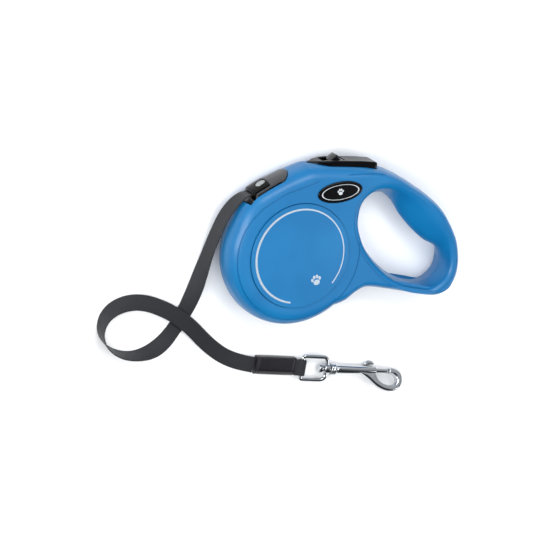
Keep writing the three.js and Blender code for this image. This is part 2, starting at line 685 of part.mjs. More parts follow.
function swivelRivet() {
  const head = axleRod(2.7, rivetHeadFront, eyeLength - 2 - gap);
  const shank = axleRod(1.3, eyeLength - 4, eyeLength + 3.6);
  return toGeometry(head.add(shank));
}

const barrelStart = eyeLength + 2 + gap;
const barrelEnd = barrelStart + 32;
const boltTip = barrelEnd + 9.2;
const knobRear = barrelEnd - 8;

function hookPlate() {
  const x = barrelEnd;
  const shape = new THREE.Shape();
  shape.moveTo(x - 13, -1.6);
  shape.quadraticCurveTo(x - 8, -3, x - 3.5, -7);
  shape.quadraticCurveTo(x + 2.5, -12.6, x + 10, -13);
  shape.quadraticCurveTo(x + 17, -12.8, x + 18.6, -6.8);
  shape.quadraticCurveTo(x + 19.6, -0.6, x + 14.5, 1.3);
  shape.quadraticCurveTo(x + 12.5, 2, boltTip + gap, 1.9);
  shape.lineTo(boltTip + gap, -1.8);
  shape.quadraticCurveTo(x + 13.6, -1.4, x + 14.6, -4.6);
  shape.quadraticCurveTo(x + 14.8, -8.8, x + 9.5, -9);
  shape.quadraticCurveTo(x + 4, -8.8, x + 1.2, -5);
  shape.lineTo(x - 0.6, -1.8);
  const half = hookThickness / 2;
  return slab(shape, -half, half, 6);
}

function snapBody() {
  const collar = axleRod(collarRadius, barrelStart, barrelStart + 3.6, 24);
  const neck = axleRod(barrelRadius - 0.5, barrelStart + 3, barrelStart + 5, 24);
  const tube = axleRod(barrelRadius, barrelStart + 4.6, barrelEnd, 24);
  const bore = axleRod(boltRadius + gap, barrelStart + 6, barrelEnd + 1);
  const rivetBore = axleRod(1.3 + gap, barrelStart - 1, barrelStart + 1.6);
  const slot = box(knobRear - boltTravel - 0.6, barrelEnd + 1, 0, 9, -1.2, 1.2);
  const solid = addAll([collar, neck, tube, hookPlate().subtract(axleRod(barrelRadius - 0.4, barrelStart, barrelEnd))]);
  return toGeometry(solid.subtract(bore).subtract(slot).subtract(rivetBore));
}

function snapBolt() {
  return toGeometry(axleRod(boltRadius, barrelStart + 15.5, boltTip, 18));
}

function boltKnob() {
  const neck = box(knobRear + 0.6, knobRear + 6.2, boltRadius + gap, barrelRadius + 0.7, -0.85, 0.85);
  const shape = new THREE.Shape();
  shape.moveTo(knobRear, barrelRadius + 0.35);
  shape.quadraticCurveTo(knobRear + 1, barrelRadius + 3.2, knobRear + 4, barrelRadius + 3.1);
  shape.quadraticCurveTo(knobRear + 6.8, barrelRadius + 2.6, knobRear + 6.9, barrelRadius + 0.35);
  return toGeometry(neck.add(slab(shape, -1.9, 1.9, 6)));
}

function boltSpring() {
  const radius = boltRadius - 0.35;
  const points = coil(radius, radius, 0, 8.4, 6, 8);
  return wire(points, 0.28, 4, new THREE.Vector3(0, 0, 1)).rotateY(Math.PI / 2).translate(barrelStart + 6.6, 0, 0);
}

// ---------------------------------------------------------------- assembly

function piece(name, geometry, finish) {
  const [color, roughness, metalness] = finishes[finish];
  const material = new THREE.MeshStandardMaterial({ color, roughness, metalness });
  const mesh = new THREE.Mesh(geometry, material);
  mesh.name = name;
  return mesh;
}

const housing = new THREE.Group();
housing.add(
  piece('front_shell', shell(1), 'blue'),
  piece('back_shell', shell(-1), 'blue'),
  piece('front_label_disc', labelDisc(1), 'print'),
  piece('back_label_disc', labelDisc(-1), 'print'),
  piece('front_badge', badgePlate(1), 'blackGloss'),
  piece('back_badge', badgePlate(-1), 'blackGloss'),
  piece('outlet_guide', outletGuide(), 'blackGloss'),
  piece('outlet_guide_pin', toGeometry(rod(1.1, guidePinPlace.x, guidePinPlace.y, -7.5, 7.5, 16)), 'steel'),
  piece('spool_axle', axle(), 'steel'),
  piece('axle_screw', screw(new THREE.Vector2(0, 0), axleScrewHead, -2), 'steel'),
  piece('brake_pivot_pin', toGeometry(rod(pivotRadius, pivot.x, pivot.y, -pivotHalf, pivotHalf)), 'steel'),
  piece('brake_spring', brakeSpring(), 'springSteel'),
  piece('brake_button', brakeButton(), 'blackGloss'),
  piece('brake_pawl', brakePawl(), 'blackMoulded'),
  piece('lock_slider', lockSlider(), 'blackGloss'),
  piece('spool', spool(), 'nylon'),
  piece('spring_cover', springCover(), 'nylon'),
  piece('mainspring', mainspring(), 'springSteel'),
  piece('tape_pack', tapePack(), 'webbing'),
);
screwPlaces.forEach((place, i) => {
  housing.add(piece(`housing_screw_${i + 1}`, screw(place, -11.6, 6.4), 'steel'));
});

const freeEnd = new THREE.Group();
freeEnd.add(
  piece('stop_buckle', stopBuckle(), 'blackGloss'),
  piece('stop_inset', toGeometry(insetSolid(0)), 'paleInset'),
  piece('tape_inside', tapeInside(), 'webbing'),
  piece('tape_outside', tapeOutside(), 'webbing'),
);

const tapeEnd = tapeRoute[tapeRoute.length - 1];
const ferruleHeading = -0.045;
const ferruleGroup = new THREE.Group();
ferruleGroup.position.set(tapeEnd[0] + 3 * gap, tapeEnd[1], floor + ferruleHeight / 2 + 0.1);
ferruleGroup.rotation.z = ferruleHeading;
ferruleGroup.add(piece('ferrule', ferrule(), 'blackMoulded'));

const snapGroup = new THREE.Group();
snapGroup.position.set(
  tapeEnd[0] + (ferruleLength + 5.4) * Math.cos(ferruleHeading),
  tapeEnd[1] + (ferruleLength + 5.4) * Math.sin(ferruleHeading),
  floor + collarRadius + 0.3,
);
snapGroup.rotation.z = ferruleHeading;
const snapRoll = new THREE.Group();
snapRoll.rotation.x = -0.42;
snapRoll.add(
  piece('snap_body', snapBody(), 'chrome'),
  piece('snap_bolt', snapBolt(), 'chrome'),
  piece('bolt_knob', boltKnob(), 'chrome'),
  piece('bolt_spring', boltSpring(), 'springSteel'),
);
snapGroup.add(
  piece('strap_eye_loop', strapEyeLoop(), 'webbing'),
  piece('swivel_eye', swivelEye(), 'chrome'),
  piece('swivel_rivet', swivelRivet(), 'chrome'),
  snapRoll,
);
freeEnd.add(ferruleGroup, snapGroup);

const leash = new THREE.Group();
leash.add(housing, freeEnd);
const bounds = new THREE.Box3().setFromObject(housing);
leash.position.set(-(bounds.min.x + bounds.max.x) / 2, -(bounds.min.y + bounds.max.y) / 2, -bounds.min.z);

export default leash;
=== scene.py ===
import math
import bpy
import numpy as np
from mathutils import Matrix, Vector
from mathutils.geometry import delaunay_2d_cdt


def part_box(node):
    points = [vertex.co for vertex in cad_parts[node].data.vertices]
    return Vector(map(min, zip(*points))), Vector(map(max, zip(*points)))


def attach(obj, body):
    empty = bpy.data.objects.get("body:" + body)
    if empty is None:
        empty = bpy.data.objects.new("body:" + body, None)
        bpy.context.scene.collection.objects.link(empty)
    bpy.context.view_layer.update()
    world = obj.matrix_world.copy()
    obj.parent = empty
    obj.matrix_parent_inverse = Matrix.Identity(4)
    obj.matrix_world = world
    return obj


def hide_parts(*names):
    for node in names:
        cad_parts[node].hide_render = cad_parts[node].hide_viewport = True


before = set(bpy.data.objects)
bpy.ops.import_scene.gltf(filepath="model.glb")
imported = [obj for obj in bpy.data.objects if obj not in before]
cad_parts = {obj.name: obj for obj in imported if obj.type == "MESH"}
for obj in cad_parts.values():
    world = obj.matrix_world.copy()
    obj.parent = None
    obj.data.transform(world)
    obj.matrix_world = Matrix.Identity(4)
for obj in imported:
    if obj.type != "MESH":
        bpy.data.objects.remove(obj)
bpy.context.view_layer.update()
print("frame loaded")

mm = 0.001
discLow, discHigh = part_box("front_label_disc")
# the spool axle, on the parting plane
axleCentre = np.array([(discLow[0] + discHigh[0]) / 2, (discLow[1] + discHigh[1]) / 2, discHigh[2] / 2])


def placed(points):
    # Drawing millimetres about the spool axle become metres in the frame.
    return np.asarray(points, float) * mm + axleCentre


# camera
cameraLook = {"right": (0.892, 0.127, 0.434), "up": (0.0, 0.9596, -0.2814), "lens": 300.0, "sensor": 36.0,
              "width": 0.3427, "across": -6.43, "along": -18.33, "clip": (0.05, 50)}


def makeCamera(look):
    right = Vector(look["right"]).normalized()
    up = Vector(look["up"])
    back = right.cross(up).normalized()
    up = back.cross(right)
    distance = look["width"] * look["lens"] / look["sensor"]
    place = Vector(axleCentre) + right * look["across"] * mm + up * look["along"] * mm + back * distance
    data = bpy.data.cameras.new("viewCamera")
    data.lens, data.sensor_width = look["lens"], look["sensor"]
    data.clip_start, data.clip_end = look["clip"]
    camera = bpy.data.objects.new("viewCamera", data)
    bpy.context.scene.collection.objects.link(camera)
    camera.matrix_world = Matrix.Translation(place) @ Matrix((right, up, back)).transposed().to_4x4()
    bpy.context.scene.camera = camera


makeCamera(cameraLook)
print("camera set")


# shapes from arrays
def newMesh(name, points, faces, smoothAngle=40, uv=None):
    # points in metres; faces is one index array of quads, or a list of several arrays
    groups = faces if isinstance(faces, list) else [faces]
    mesh = bpy.data.meshes.new(name)
    loops = np.concatenate([g.ravel() for g in groups])
    sizes = np.concatenate([np.full(len(g), g.shape[1]) for g in groups])
    mesh.vertices.add(len(points))
    mesh.vertices.foreach_set("co", np.asarray(points, np.float32).ravel())
    mesh.loops.add(len(loops))
    mesh.loops.foreach_set("vertex_index", loops.astype(np.int32))
    mesh.polygons.add(len(sizes))
    mesh.polygons.foreach_set("loop_start", np.concatenate([[0], np.cumsum(sizes)[:-1]]).astype(np.int32))
    mesh.update(calc_edges=True)
    mesh.validate()
    if uv is not None:
        layer = mesh.uv_layers.new(name="along")
        layer.data.foreach_set("uv", np.asarray(uv, np.float32)[loops].ravel())
    piece = bpy.data.objects.new(name, mesh)
    bpy.context.scene.collection.objects.link(piece)
    smooth(piece, smoothAngle)
    return piece


def smooth(piece, angle):
    # smooth shading with sharp edges where two faces meet at more than the angle
    mesh = piece.data
    mesh.polygons.foreach_set("use_smooth", np.ones(len(mesh.polygons), bool))
    mesh.set_sharp_from_angle(angle=math.radians(angle))


def gridFaces(rows, columns, closedAcross=True, first=0, flip=False):
    # quads between neighbouring rows of a grid whose points run along each row
    i, j = np.meshgrid(np.arange(rows - 1), np.arange(columns if closedAcross else columns - 1), indexing="ij")
    k = (j + 1) % columns
    quads = np.stack([i * columns + j, i * columns + k, (i + 1) * columns + k, (i + 1) * columns + j], -1)
    quads = quads.reshape(-1, 4) + first
    return quads[:, ::-1] if flip else quads


def lengthAlong(points, closed=True):
    steps = np.roll(points, -1, 0) - points if closed else np.diff(points, axis=0)
    return np.concatenate([[0], np.cumsum(np.linalg.norm(steps, axis=1))])


def evenly(points, count, closed=True):
    # the same line, cut into equal steps of length
    along = lengthAlong(points, closed)
    source = np.vstack([points, points[:1]]) if closed else points
    want = np.linspace(0, along[-1], count, endpoint=not closed)
    return np.stack([np.interp(want, along, source[:, c]) for c in range(source.shape[1])], -1)


def throughPoints(points, perSpan, closed=False, doubledEnds=False):
    # uniform Catmull-Rom: each span is a cubic whose end slopes are half the chord over its neighbours
    p = np.asarray(points, float)
    if closed:
        p = np.vstack([p[-1:], p, p[:2]])
    elif doubledEnds:
        p = np.vstack([p[:1], p, p[-1:]])
    else:
        p = np.vstack([2 * p[:1] - p[1:2], p, 2 * p[-1:] - p[-2:-1]])
    a, b, c, d = p[:-3, None], p[1:-2, None], p[2:-1, None], p[3:, None]
    t = np.linspace(0, 1, perSpan, endpoint=False)[None, :, None]
    line = 0.5 * (2 * b + (c - a) * t + (2 * a - 5 * b + 4 * c - d) * t**2 + (3 * b - a - 3 * c + d) * t**3)
    line = line.reshape(-1, p.shape[1])
    return line if closed else np.vstack([line, p[-2:-1]])


def outward(ring, reach):
    # unit normals of a counter-clockwise ring, from the chord over a few neighbours each way
    along = np.roll(ring, -reach, 0) - np.roll(ring, reach, 0)
    along /= np.linalg.norm(along, axis=1)[:, None]
    return np.stack([along[:, 1], -along[:, 0]], -1)


def tubeOf(rings):
    # a closed skin over rings of equal count, in order; each end closes to its own middle point
    rows, columns = rings.shape[:2]
    points = np.vstack([rings.reshape(-1, 3), rings[0].mean(0), rings[-1].mean(0)])
    j = np.arange(columns)
    k = (j + 1) % columns
    last = (rows - 1) * columns
    return points, [gridFaces(rows, columns, flip=True),
                    np.stack([np.full(columns, rows * columns), j, k], -1),
                    np.stack([np.full(columns, rows * columns + 1), last + k, last + j], -1)]


def roomInside(ring, normal, want):
    # how far each point may step inwards before it comes nearer to another part of the outline
    share, tolerance, tightest, slope = 0.97, 0.01, 0.3, 0.05
    depth = None
    for step in np.linspace(0.08, 1, 16) * want:
        inner = ring - normal * step
        clear = np.linalg.norm(inner[:, None] - ring[None], axis=2).min(1) > step * share - tolerance
        if depth is None:
            depth = np.where(clear, step, tightest * step)
        else:
            depth = np.where(clear & (depth > step - want * 0.08), step, depth)
    for reach in range(1, 4):
        beside = np.minimum(np.roll(depth, reach), np.roll(depth, -reach))
        depth = np.minimum(depth, beside + slope * reach * want)
    kernel = np.array([1, 2, 3, 2, 1]) / 9
    return sum(np.roll(depth, k - 2) * kernel[k] for k in range(5))


def plateOf(ring, half, rounding, power, steps, middle=0.0, reach=None):
    # A flat outline made thick: rings step inwards from the edge as a superellipse of the given
    # power, and the two flat sides are filled. Returns points in the drawing (x, y, z) and faces.
    ring = np.asarray(ring, float)
    count = len(ring)
    normal = outward(ring, reach or max(1, count // 120))
    depth = roomInside(ring, normal, rounding)
    turn = np.linspace(0, math.pi / 2, steps)
    level, share = np.sin(turn)**(2 / power), 1 - np.cos(turn)**(2 / power)
    level = np.concatenate([-level[::-1], level[1:]])
    share = np.concatenate([share[::-1], share[1:]])
    straight = half - rounding
    height = np.sign(level) * (straight * (np.abs(level) > 0) + rounding * np.abs(level))
    rows = [np.column_stack([ring - normal * depth[:, None] * s, np.full(count, z)]) for s, z in zip(share, height)]
    points = np.vstack(rows) + [0, 0, middle]
    faces = [gridFaces(len(rows), count)]
    inner = flatFill(ring)
    last = (len(rows) - 1) * count
    faces.append(inner + last)
    faces.append(inner[:, ::-1])
    return points, faces


def flatFill(outer, *holes):
    # triangles that fill the outer ring and leave out the holes; every ring's points are used once
    # and in order, so the indices fit the stacked rings
    points = np.vstack([outer, *holes])
    edges, first = [], 0
    for ring in (outer, *holes):
        index = np.arange(len(ring))
        edges += [(first + a, first + b) for a, b in zip(index, np.roll(index, -1))]
        first += len(ring)
    made = delaunay_2d_cdt([Vector(p) for p in points], edges, [], 0, 1e-7)
    triangles = np.array([[made[3][v][0] if made[3][v] else -1 for v in f] for f in made[2]])
    triangles = triangles[(triangles >= 0).all(1)]
    centres = points[triangles].mean(1)
    keep = insideOf(centres, outer)
    for hole in holes:
        keep &= ~insideOf(centres, hole)
    triangles = triangles[keep]
    a, b, c = points[triangles[:, 0]], points[triangles[:, 1]], points[triangles[:, 2]]
    area = (b[:, 0] - a[:, 0]) * (c[:, 1] - a[:, 1]) - (b[:, 1] - a[:, 1]) * (c[:, 0] - a[:, 0])
    triangles[area < 0] = triangles[area < 0][:, ::-1]
    return triangles


def insideOf(points, ring):
    # even-odd rule: how many of the ring's sides a ray towards +x crosses
    x, y = points[:, :1], points[:, 1:2]
    x0, y0 = ring[None, :, 0], ring[None, :, 1]
    x1, y1 = np.roll(x0, -1, 1), np.roll(y0, -1, 1)
    crosses = (y0 > y) != (y1 > y)
    where = x0 + (y - y0) * (x1 - x0) / np.where(y1 == y0, 1e-12, y1 - y0)
    return (crosses & (x < where)).sum(1) % 2 == 1


def lathe(profile, sides, axis="z"):
    # a profile of (radius, height) turned about z or x; it starts and ends on the axis
    p = np.asarray(profile, float)
    turn = np.arange(sides) * 2 * math.pi / sides
    inner = p[1:-1]
    x = inner[:, :1] * np.cos(turn)
    y = inner[:, :1] * np.sin(turn)
    z = np.repeat(inner[:, 1:2], sides, 1)
    points = np.vstack([np.stack([x, y, z], -1).reshape(-1, 3), [[0, 0, p[0, 1]], [0, 0, p[-1, 1]]]])
    rows, j = len(inner), np.arange(sides)
    k = (j + 1) % sides
    faces = [gridFaces(rows, sides),
             np.stack([np.full(sides, rows * sides), k, j], -1),
             np.stack([np.full(sides, rows * sides + 1), (rows - 1) * sides + j, (rows - 1) * sides + k], -1)]
    return points[:, [2, 0, 1]] if axis == "x" else points, faces


def quadratic(a, b, c, count, closing=False):
    # from a to c, drawn towards b; the last point is left out unless closing
    t = np.linspace(0, 1, count, endpoint=closing)[:, None]
    a, b, c = np.asarray(a, float), np.asarray(b, float), np.asarray(c, float)
    return (1 - t)**2 * a + 2 * t * (1 - t) * b + t**2 * c


def bends(start, *spans):
    # such curves end to end; each span is its control point, its end and its count
    made = []
    for control, end, count in spans:
        made.append(quadratic(start, control, end, count))
        start = end
    return np.vstack(made)


def softCorners(profile, radius, steps):
    # each inner corner of an open profile becomes a short curve whose control point is the corner
    p = np.asarray(profile, float)
    made = [p[:1]]
    for a, b, c in zip(p[:-2], p[1:-1], p[2:]):
        u, v = a - b, c - b
        lu, lv = np.linalg.norm(u), np.linalg.norm(v)
        r = min(radius, lu * 0.45, lv * 0.45)
        made.append(quadratic(b + u / lu * r, b, b + v / lv * r, steps, True))
    made.append(p[-1:])
    return np.vstack(made)


def softRing(ring, radius, steps=5):
    # the same for every corner of a closed outline
    p = np.asarray(ring, float)
    return softCorners(np.vstack([p[-1:], p, p[:1]]), radius, steps)[1:-1]


def blockOf(x0, x1, y0, y1, z0, z1):
    x, y, z = np.meshgrid([x0, x1], [y0, y1], [z0, z1], indexing="ij")
    points = np.stack([x, y, z], -1).reshape(-1, 3)
    faces = np.array([[0, 1, 3, 2], [4, 6, 7, 5], [0, 4, 5, 1], [2, 3, 7, 6], [0, 2, 6, 4], [1, 5, 7, 3]])
    return points, [faces]


def prismOf(ring, low, high, plane="xy"):
    # a counter-clockwise outline raised along z, or along y for an outline in (x, z)
    ring = np.asarray(ring, float)
    count = len(ring)
    points = np.vstack([np.column_stack([ring, np.full(count, w)]) for w in (low, high)])
    top = flatFill(ring)
    faces = [gridFaces(2, count), top + count, top[:, ::-1]]
    return (points, faces) if plane == "xy" else (points[:, [0, 2, 1]], [f[:, ::-1] for f in faces])


def sweepOf(path, radii, sides, closed=False):
    # a circle of the given radius, or (level, upright) radii, carried along a path
    path = np.asarray(path, float)
    count = len(path)
    radii = np.asarray(radii, float).reshape(-1, 2) if np.ndim(radii) else np.full((1, 2), radii)
    radii = np.broadcast_to(radii, (count, 2))
    if closed:
        along = np.roll(path, -1, 0) - np.roll(path, 1, 0)
    else:
        along = np.gradient(path, axis=0)
    along /= np.linalg.norm(along, axis=1)[:, None]
    side = np.cross(along, np.broadcast_to([0.0, 0.0, 1.0], path.shape))
    side /= np.linalg.norm(side, axis=1)[:, None]
    over = np.cross(side, along)
    turn = np.arange(sides) * 2 * math.pi / sides
    rings = (path[:, None] + side[:, None] * (np.cos(turn)[None, :, None] * radii[:, None, :1])
             + over[:, None] * (np.sin(turn)[None, :, None] * radii[:, None, 1:]))
    if not closed:
        return tubeOf(rings)
    rings = np.concatenate([rings, rings[:1]])
    faces = gridFaces(count + 1, sides, flip=True) % (count * sides)
    return rings[:-1].reshape(-1, 3), [faces]


def solidVolume(points, faces):
    total = 0.0
    for g in faces:
        for i in range(1, g.shape[1] - 1):
            a, b, c = points[g[:, 0]], points[g[:, i]], points[g[:, i + 1]]
            total += np.einsum("ij,ij->i", a, np.cross(b, c)).sum() / 6
    return total


def facingOut(solid):
    # the same solid, turned outwards if it is inside out
    points, faces = solid
    return (points, [f[:, ::-1] for f in faces]) if solidVolume(points, faces) < 0 else solid


def pieceOf(name, solid, angle=40, uv=None):
    # a finished piece from a closed drawing solid
    points, faces = facingOut(solid)
    return newMesh(name, placed(points), faces, angle, uv)


def combined(piece, solid, how="DIFFERENCE", solver="EXACT"):
    # cuts a drawing solid out of the piece, or keeps what both share
    return trimmed(piece, newMesh("cutter", placed(solid[0]), solid[1]), how, solver)


def trimmed(piece, cutter, how="DIFFERENCE", solver="EXACT"):
    change = piece.modifiers.new("cut", "BOOLEAN")
    change.operation, change.solver, change.object = how, solver, cutter
    return settled(piece, [cutter])


def settled(piece, spare=(), angle=40):
    # replaces the piece's mesh with what its modifiers make of it
    bpy.context.view_layer.update()
    graph = bpy.context.evaluated_depsgraph_get()
    made = bpy.data.meshes.new_from_object(piece.evaluated_get(graph))
    piece.modifiers.clear()
    old = piece.data
    piece.data = made
    bpy.data.meshes.remove(old)
    for other in spare:
        mesh = other.data
        bpy.data.objects.remove(other)
        bpy.data.meshes.remove(mesh)
    smooth(piece, angle)
    return piece


# materials
class Sheet:
    # a material's or a sky's nodes; Wire below lets a socket be used in an expression
    def __init__(self, name, sky=False):
        self.material = (bpy.data.worlds if sky else bpy.data.materials).new(name)
        self.material.use_nodes = True
        self.tree = self.material.node_tree
        self.surface = self.tree.nodes["Background" if sky else "Principled BSDF"]

    def node(self, kind, settings=None, inputs=None, out=0):
        made = self.tree.nodes.new("ShaderNode" + kind)
        for key, value in (settings or {}).items():
            setattr(made, key, value)
        for key, value in (inputs or {}).items():
            self.feed(made.inputs[key], value)
        return Wire(self, made.outputs[out])

    def feed(self, socket, value):
        if isinstance(value, Wire):
            self.tree.links.new(value.socket, socket)
        else:
            socket.default_value = value

    def set(self, **inputs):
        for key, value in inputs.items():
            self.feed(self.surface.inputs[key.replace("_", " ")], value)

    def mix(self, share, first, second):
        # colours blended by a share from 0 to 1
        return self.node("Mix", {"data_type": "RGBA"}, {0: share, 6: tinted(first), 7: tinted(second)}, out=2)

    def bump(self, height, distance, strength):
        return self.node("Bump", None, {"Height": height, "Distance": distance, "Strength": strength})


class Wire:
    def __init__(self, sheet, socket):
        self.sheet, self.socket = sheet, socket

    def maths(self, operation, *others):
        return self.sheet.node("Math", {"operation": operation}, dict(enumerate((self, *others))))

    def __add__(self, other): return self.maths("ADD", other)
    def __mul__(self, other): return self.maths("MULTIPLY", other)
    def __sub__(self, other): return self.maths("SUBTRACT", other)
    def __truediv__(self, other): return self.maths("DIVIDE", other)
    def __pow__(self, other): return self.maths("POWER", other)
    __radd__, __rmul__ = __add__, __mul__

    def __rsub__(self, other):
        return self.sheet.node("Math", {"operation": "SUBTRACT"}, {0: other, 1: self})

    def step(self, low, high):
        # 0 below low and 1 above high, smooth between
        return self.sheet.node("MapRange", {"interpolation_type": "SMOOTHSTEP"},
                               {"Value": self, "From Min": low, "From Max": high})

    def size(self): return self.maths("ABSOLUTE")
    def sine(self): return self.maths("SINE")
    def most(self, other): return self.maths("MAXIMUM", other)


def tinted(value):
    # a hex colour as linear light; anything else is passed on
    if not isinstance(value, str):
        return value
    parts = [int(value[i:i + 2], 16) / 255 for i in (0, 2, 4)]
    return (*[c / 12.92 if c <= 0.04045 else ((c + 0.055) / 1.055)**2.4 for c in parts], 1.0)


def places(sheet):
    # Object coordinates in drawing millimetres about the spool axle
    coordinate = sheet.node("TexCoord", None, None, out=3)
    moved = sheet.node("Mapping", {"vector_type": "POINT"},
                       {"Vector": coordinate, "Location": tuple(-axleCentre / mm), "Scale": (1000, 1000, 1000)})
    return moved


def parts(sheet, vector):
    split = sheet.node("SeparateXYZ", None, {0: vector})
    return [Wire(sheet, s) for s in split.socket.node.outputs]


def grain(sheet, vector, scale, detail=3.0, rough=0.5):
    return sheet.node("TexNoise", None, {"Vector": vector, "Scale": scale, "Detail": detail, "Roughness": rough})


# housing: the drawing in millimetres, as the frame has it
housing = {"drumRadius": 46.2, "gripLength": 67.8, "faceHalf": 12.6, "wall": 2.2, "drumRounding": 11.0,
           "gripRounding": 4.5, "rimPower": 2.3, "flarePower": 1.6, "halfGap": 0.15, "tapeLine": 35.791,
           "mouthReach": 4.4, "edgeBevel": 2.2, "innerBevel": 0.3, "outlinePoints": 520, "openingPoints": 300,
           "rimSteps": (26, 12), "openingSteps": (12, 6)}
drumRadius, gripLength, faceHalf = housing["drumRadius"], housing["gripLength"], housing["faceHalf"]
tapeLine = housing["tapeLine"]
mouth = -math.sqrt(drumRadius**2 - tapeLine**2) - housing["mouthReach"]
mouthCorner = np.array([mouth + 0.8, tapeLine + 2.2])
buttonFront, buttonRear, buttonTop = 3.2, 49.0, drumRadius + 12.2


def grip(along, y):
    return (drumRadius + along * gripLength, y)


def crown(x, rise):
    return (x, drumRadius + rise)


def housingOutline(count):
    # drum arc, then a curve through the grip and the crown, then a quadratic down to the mouth
    start = math.pi - math.asin((tapeLine - 3.3) / drumRadius)
    turn = np.linspace(start, 1.735 * math.pi, 200)
    arc = np.column_stack([np.cos(turn), np.sin(turn)]) * drumRadius
    knots = [arc[-1], grip(-0.11, -30.8), grip(-0.02, -25.4), grip(0.08, -22), grip(0.26, -22.7),
             grip(0.55, -25.4), grip(0.78, -27.2), grip(0.92, -23.4), grip(0.98, -16.2), grip(1, -9),
             grip(0.99, 0), grip(0.945, 10.3), grip(0.856, 20.6), grip(0.741, 30), grip(0.592, 37.6),
             grip(0.4375, 43.7), grip(0.288, 48.9), crown(buttonRear + 6.4, 6.6), crown(buttonRear - 3.5, 8.7),
             crown(36, 9.6), crown(20, 10), crown(8, 9.9), crown(1, 9.2)]
    line = throughPoints(knots, 16, doubledEnds=True)[1:]
    shoulder = quadratic(line[-1], (mouth + 17, drumRadius + 3), mouthCorner, 60, True)[1:]
    return evenly(np.vstack([arc, line, shoulder]), count)


def openingContours(count):
    pairs = np.array([
        [grip(-0.094, 22), grip(-0.13, 23.5)], [grip(-0.066, 14), grip(-0.1, 14)],
        [grip(0.03, 3.6), grip(-0.006, 1.8)], [grip(0.186, -7), grip(0.16, -9.5)],
        [grip(0.36, -14.8), grip(0.346, -17.6)], [grip(0.55, -19), grip(0.542, -21.6)],
        [grip(0.724, -18.9), grip(0.738, -21.4)], [grip(0.838, -12.9), grip(0.868, -14.2)],
        [grip(0.858, -5), grip(0.9, -4.5)], [grip(0.79, 3.2), grip(0.87, 7.6)],
        [grip(0.657, 7.6), grip(0.79, 17)], [grip(0.499, 15.6), grip(0.66, 26)],
        [grip(0.368, 24.2), grip(0.506, 35)], [grip(0.273, 32.2), grip(0.353, 40.3)],
        [grip(0.157, 37.5), grip(0.179, 43.6)], [grip(0.026, 36.5), grip(0.019, 42.3)],
        [grip(-0.07, 30.5), grip(-0.106, 34.5)]])
    perSpan = count // len(pairs) + 1
    return [throughPoints(pairs[:, which], perSpan, closed=True) for which in (0, 1)]


rimEase = {"from": 165.0, "span": 34.0, "to": 130.9}


def smoothedMouth(ring):
    # the blue rim runs past the mouth without its corner: the polar radius eases back to the drum's
    turn = np.degrees(np.arctan2(ring[:, 1], ring[:, 0]))
    t = np.clip((rimEase["from"] - turn) / rimEase["span"], 0, 1)
    radius = drumRadius + (math.hypot(*mouthCorner) - drumRadius) * t * t * (3 - 2 * t)
    eased = ring / np.linalg.norm(ring, axis=1)[:, None] * radius[:, None]
    near = (turn > rimEase["to"]) & (turn < rimEase["from"])
    return np.where(near[:, None], eased, ring)


outline = housingOutline(housing["outlinePoints"])
rimOutline = smoothedMouth(outline)
openingMiddle, openingFace = openingContours(housing["openingPoints"])


def roundingAt(x):
    low, high = drumRadius * 0.3, drumRadius + gripLength * 0.35
    t = np.clip((x - low) / (high - low), 0, 1)
    return housing["drumRounding"] + (housing["gripRounding"] - housing["drumRounding"]) * t * t * (3 - 2 * t)


def rimRows(grow, steps, lowZ, ring):
    # rings from the parting plane up to the flat face: height and inset follow a superellipse
    normal = outward(ring, round(2 * len(ring) / 66))
    power, half = housing["rimPower"], faceHalf + grow
    first = math.asin((lowZ / half)**(power / 2))
    turn = np.linspace(first, math.pi / 2, steps)
    level, share = np.sin(turn)**(2 / power), 1 - np.cos(turn)**(2 / power)
    inset = grow - roundingAt(ring[:, 0])[None, :] * share[:, None]
    flat = ring[None] + normal[None] * inset[..., None]
    return np.concatenate([flat, np.broadcast_to((level * half)[:, None, None], (*inset.shape, 1))], -1)


def openingRows(grow, steps, lowZ, bevel):
    # the wall of the hand opening widens from its middle contour to its face contour, then a
    # quarter round of the bevel's radius runs out onto the face
    half = faceHalf + min(grow, 0)
    wallZ = np.linspace(lowZ, half - bevel, steps)
    turn = np.linspace(0, math.radians(72), 8)[1:]
    z = np.concatenate([wallZ, half - bevel + bevel * np.sin(turn) / math.sin(turn[-1])])
    spread = np.concatenate([np.zeros(steps), bevel * (1 - np.cos(turn)) / (1 - math.cos(turn[-1]))]) + abs(grow)
    share = (np.minimum(z, half) / faceHalf)**housing["flarePower"]
    rows = []
    for height, part, out in zip(z, share, spread):
        ring = openingMiddle + (openingFace - openingMiddle) * part
        ring = ring + outward(ring, 5) * out
        rows.append(np.column_stack([ring, np.full(len(ring), height)]))
    return np.array(rows)


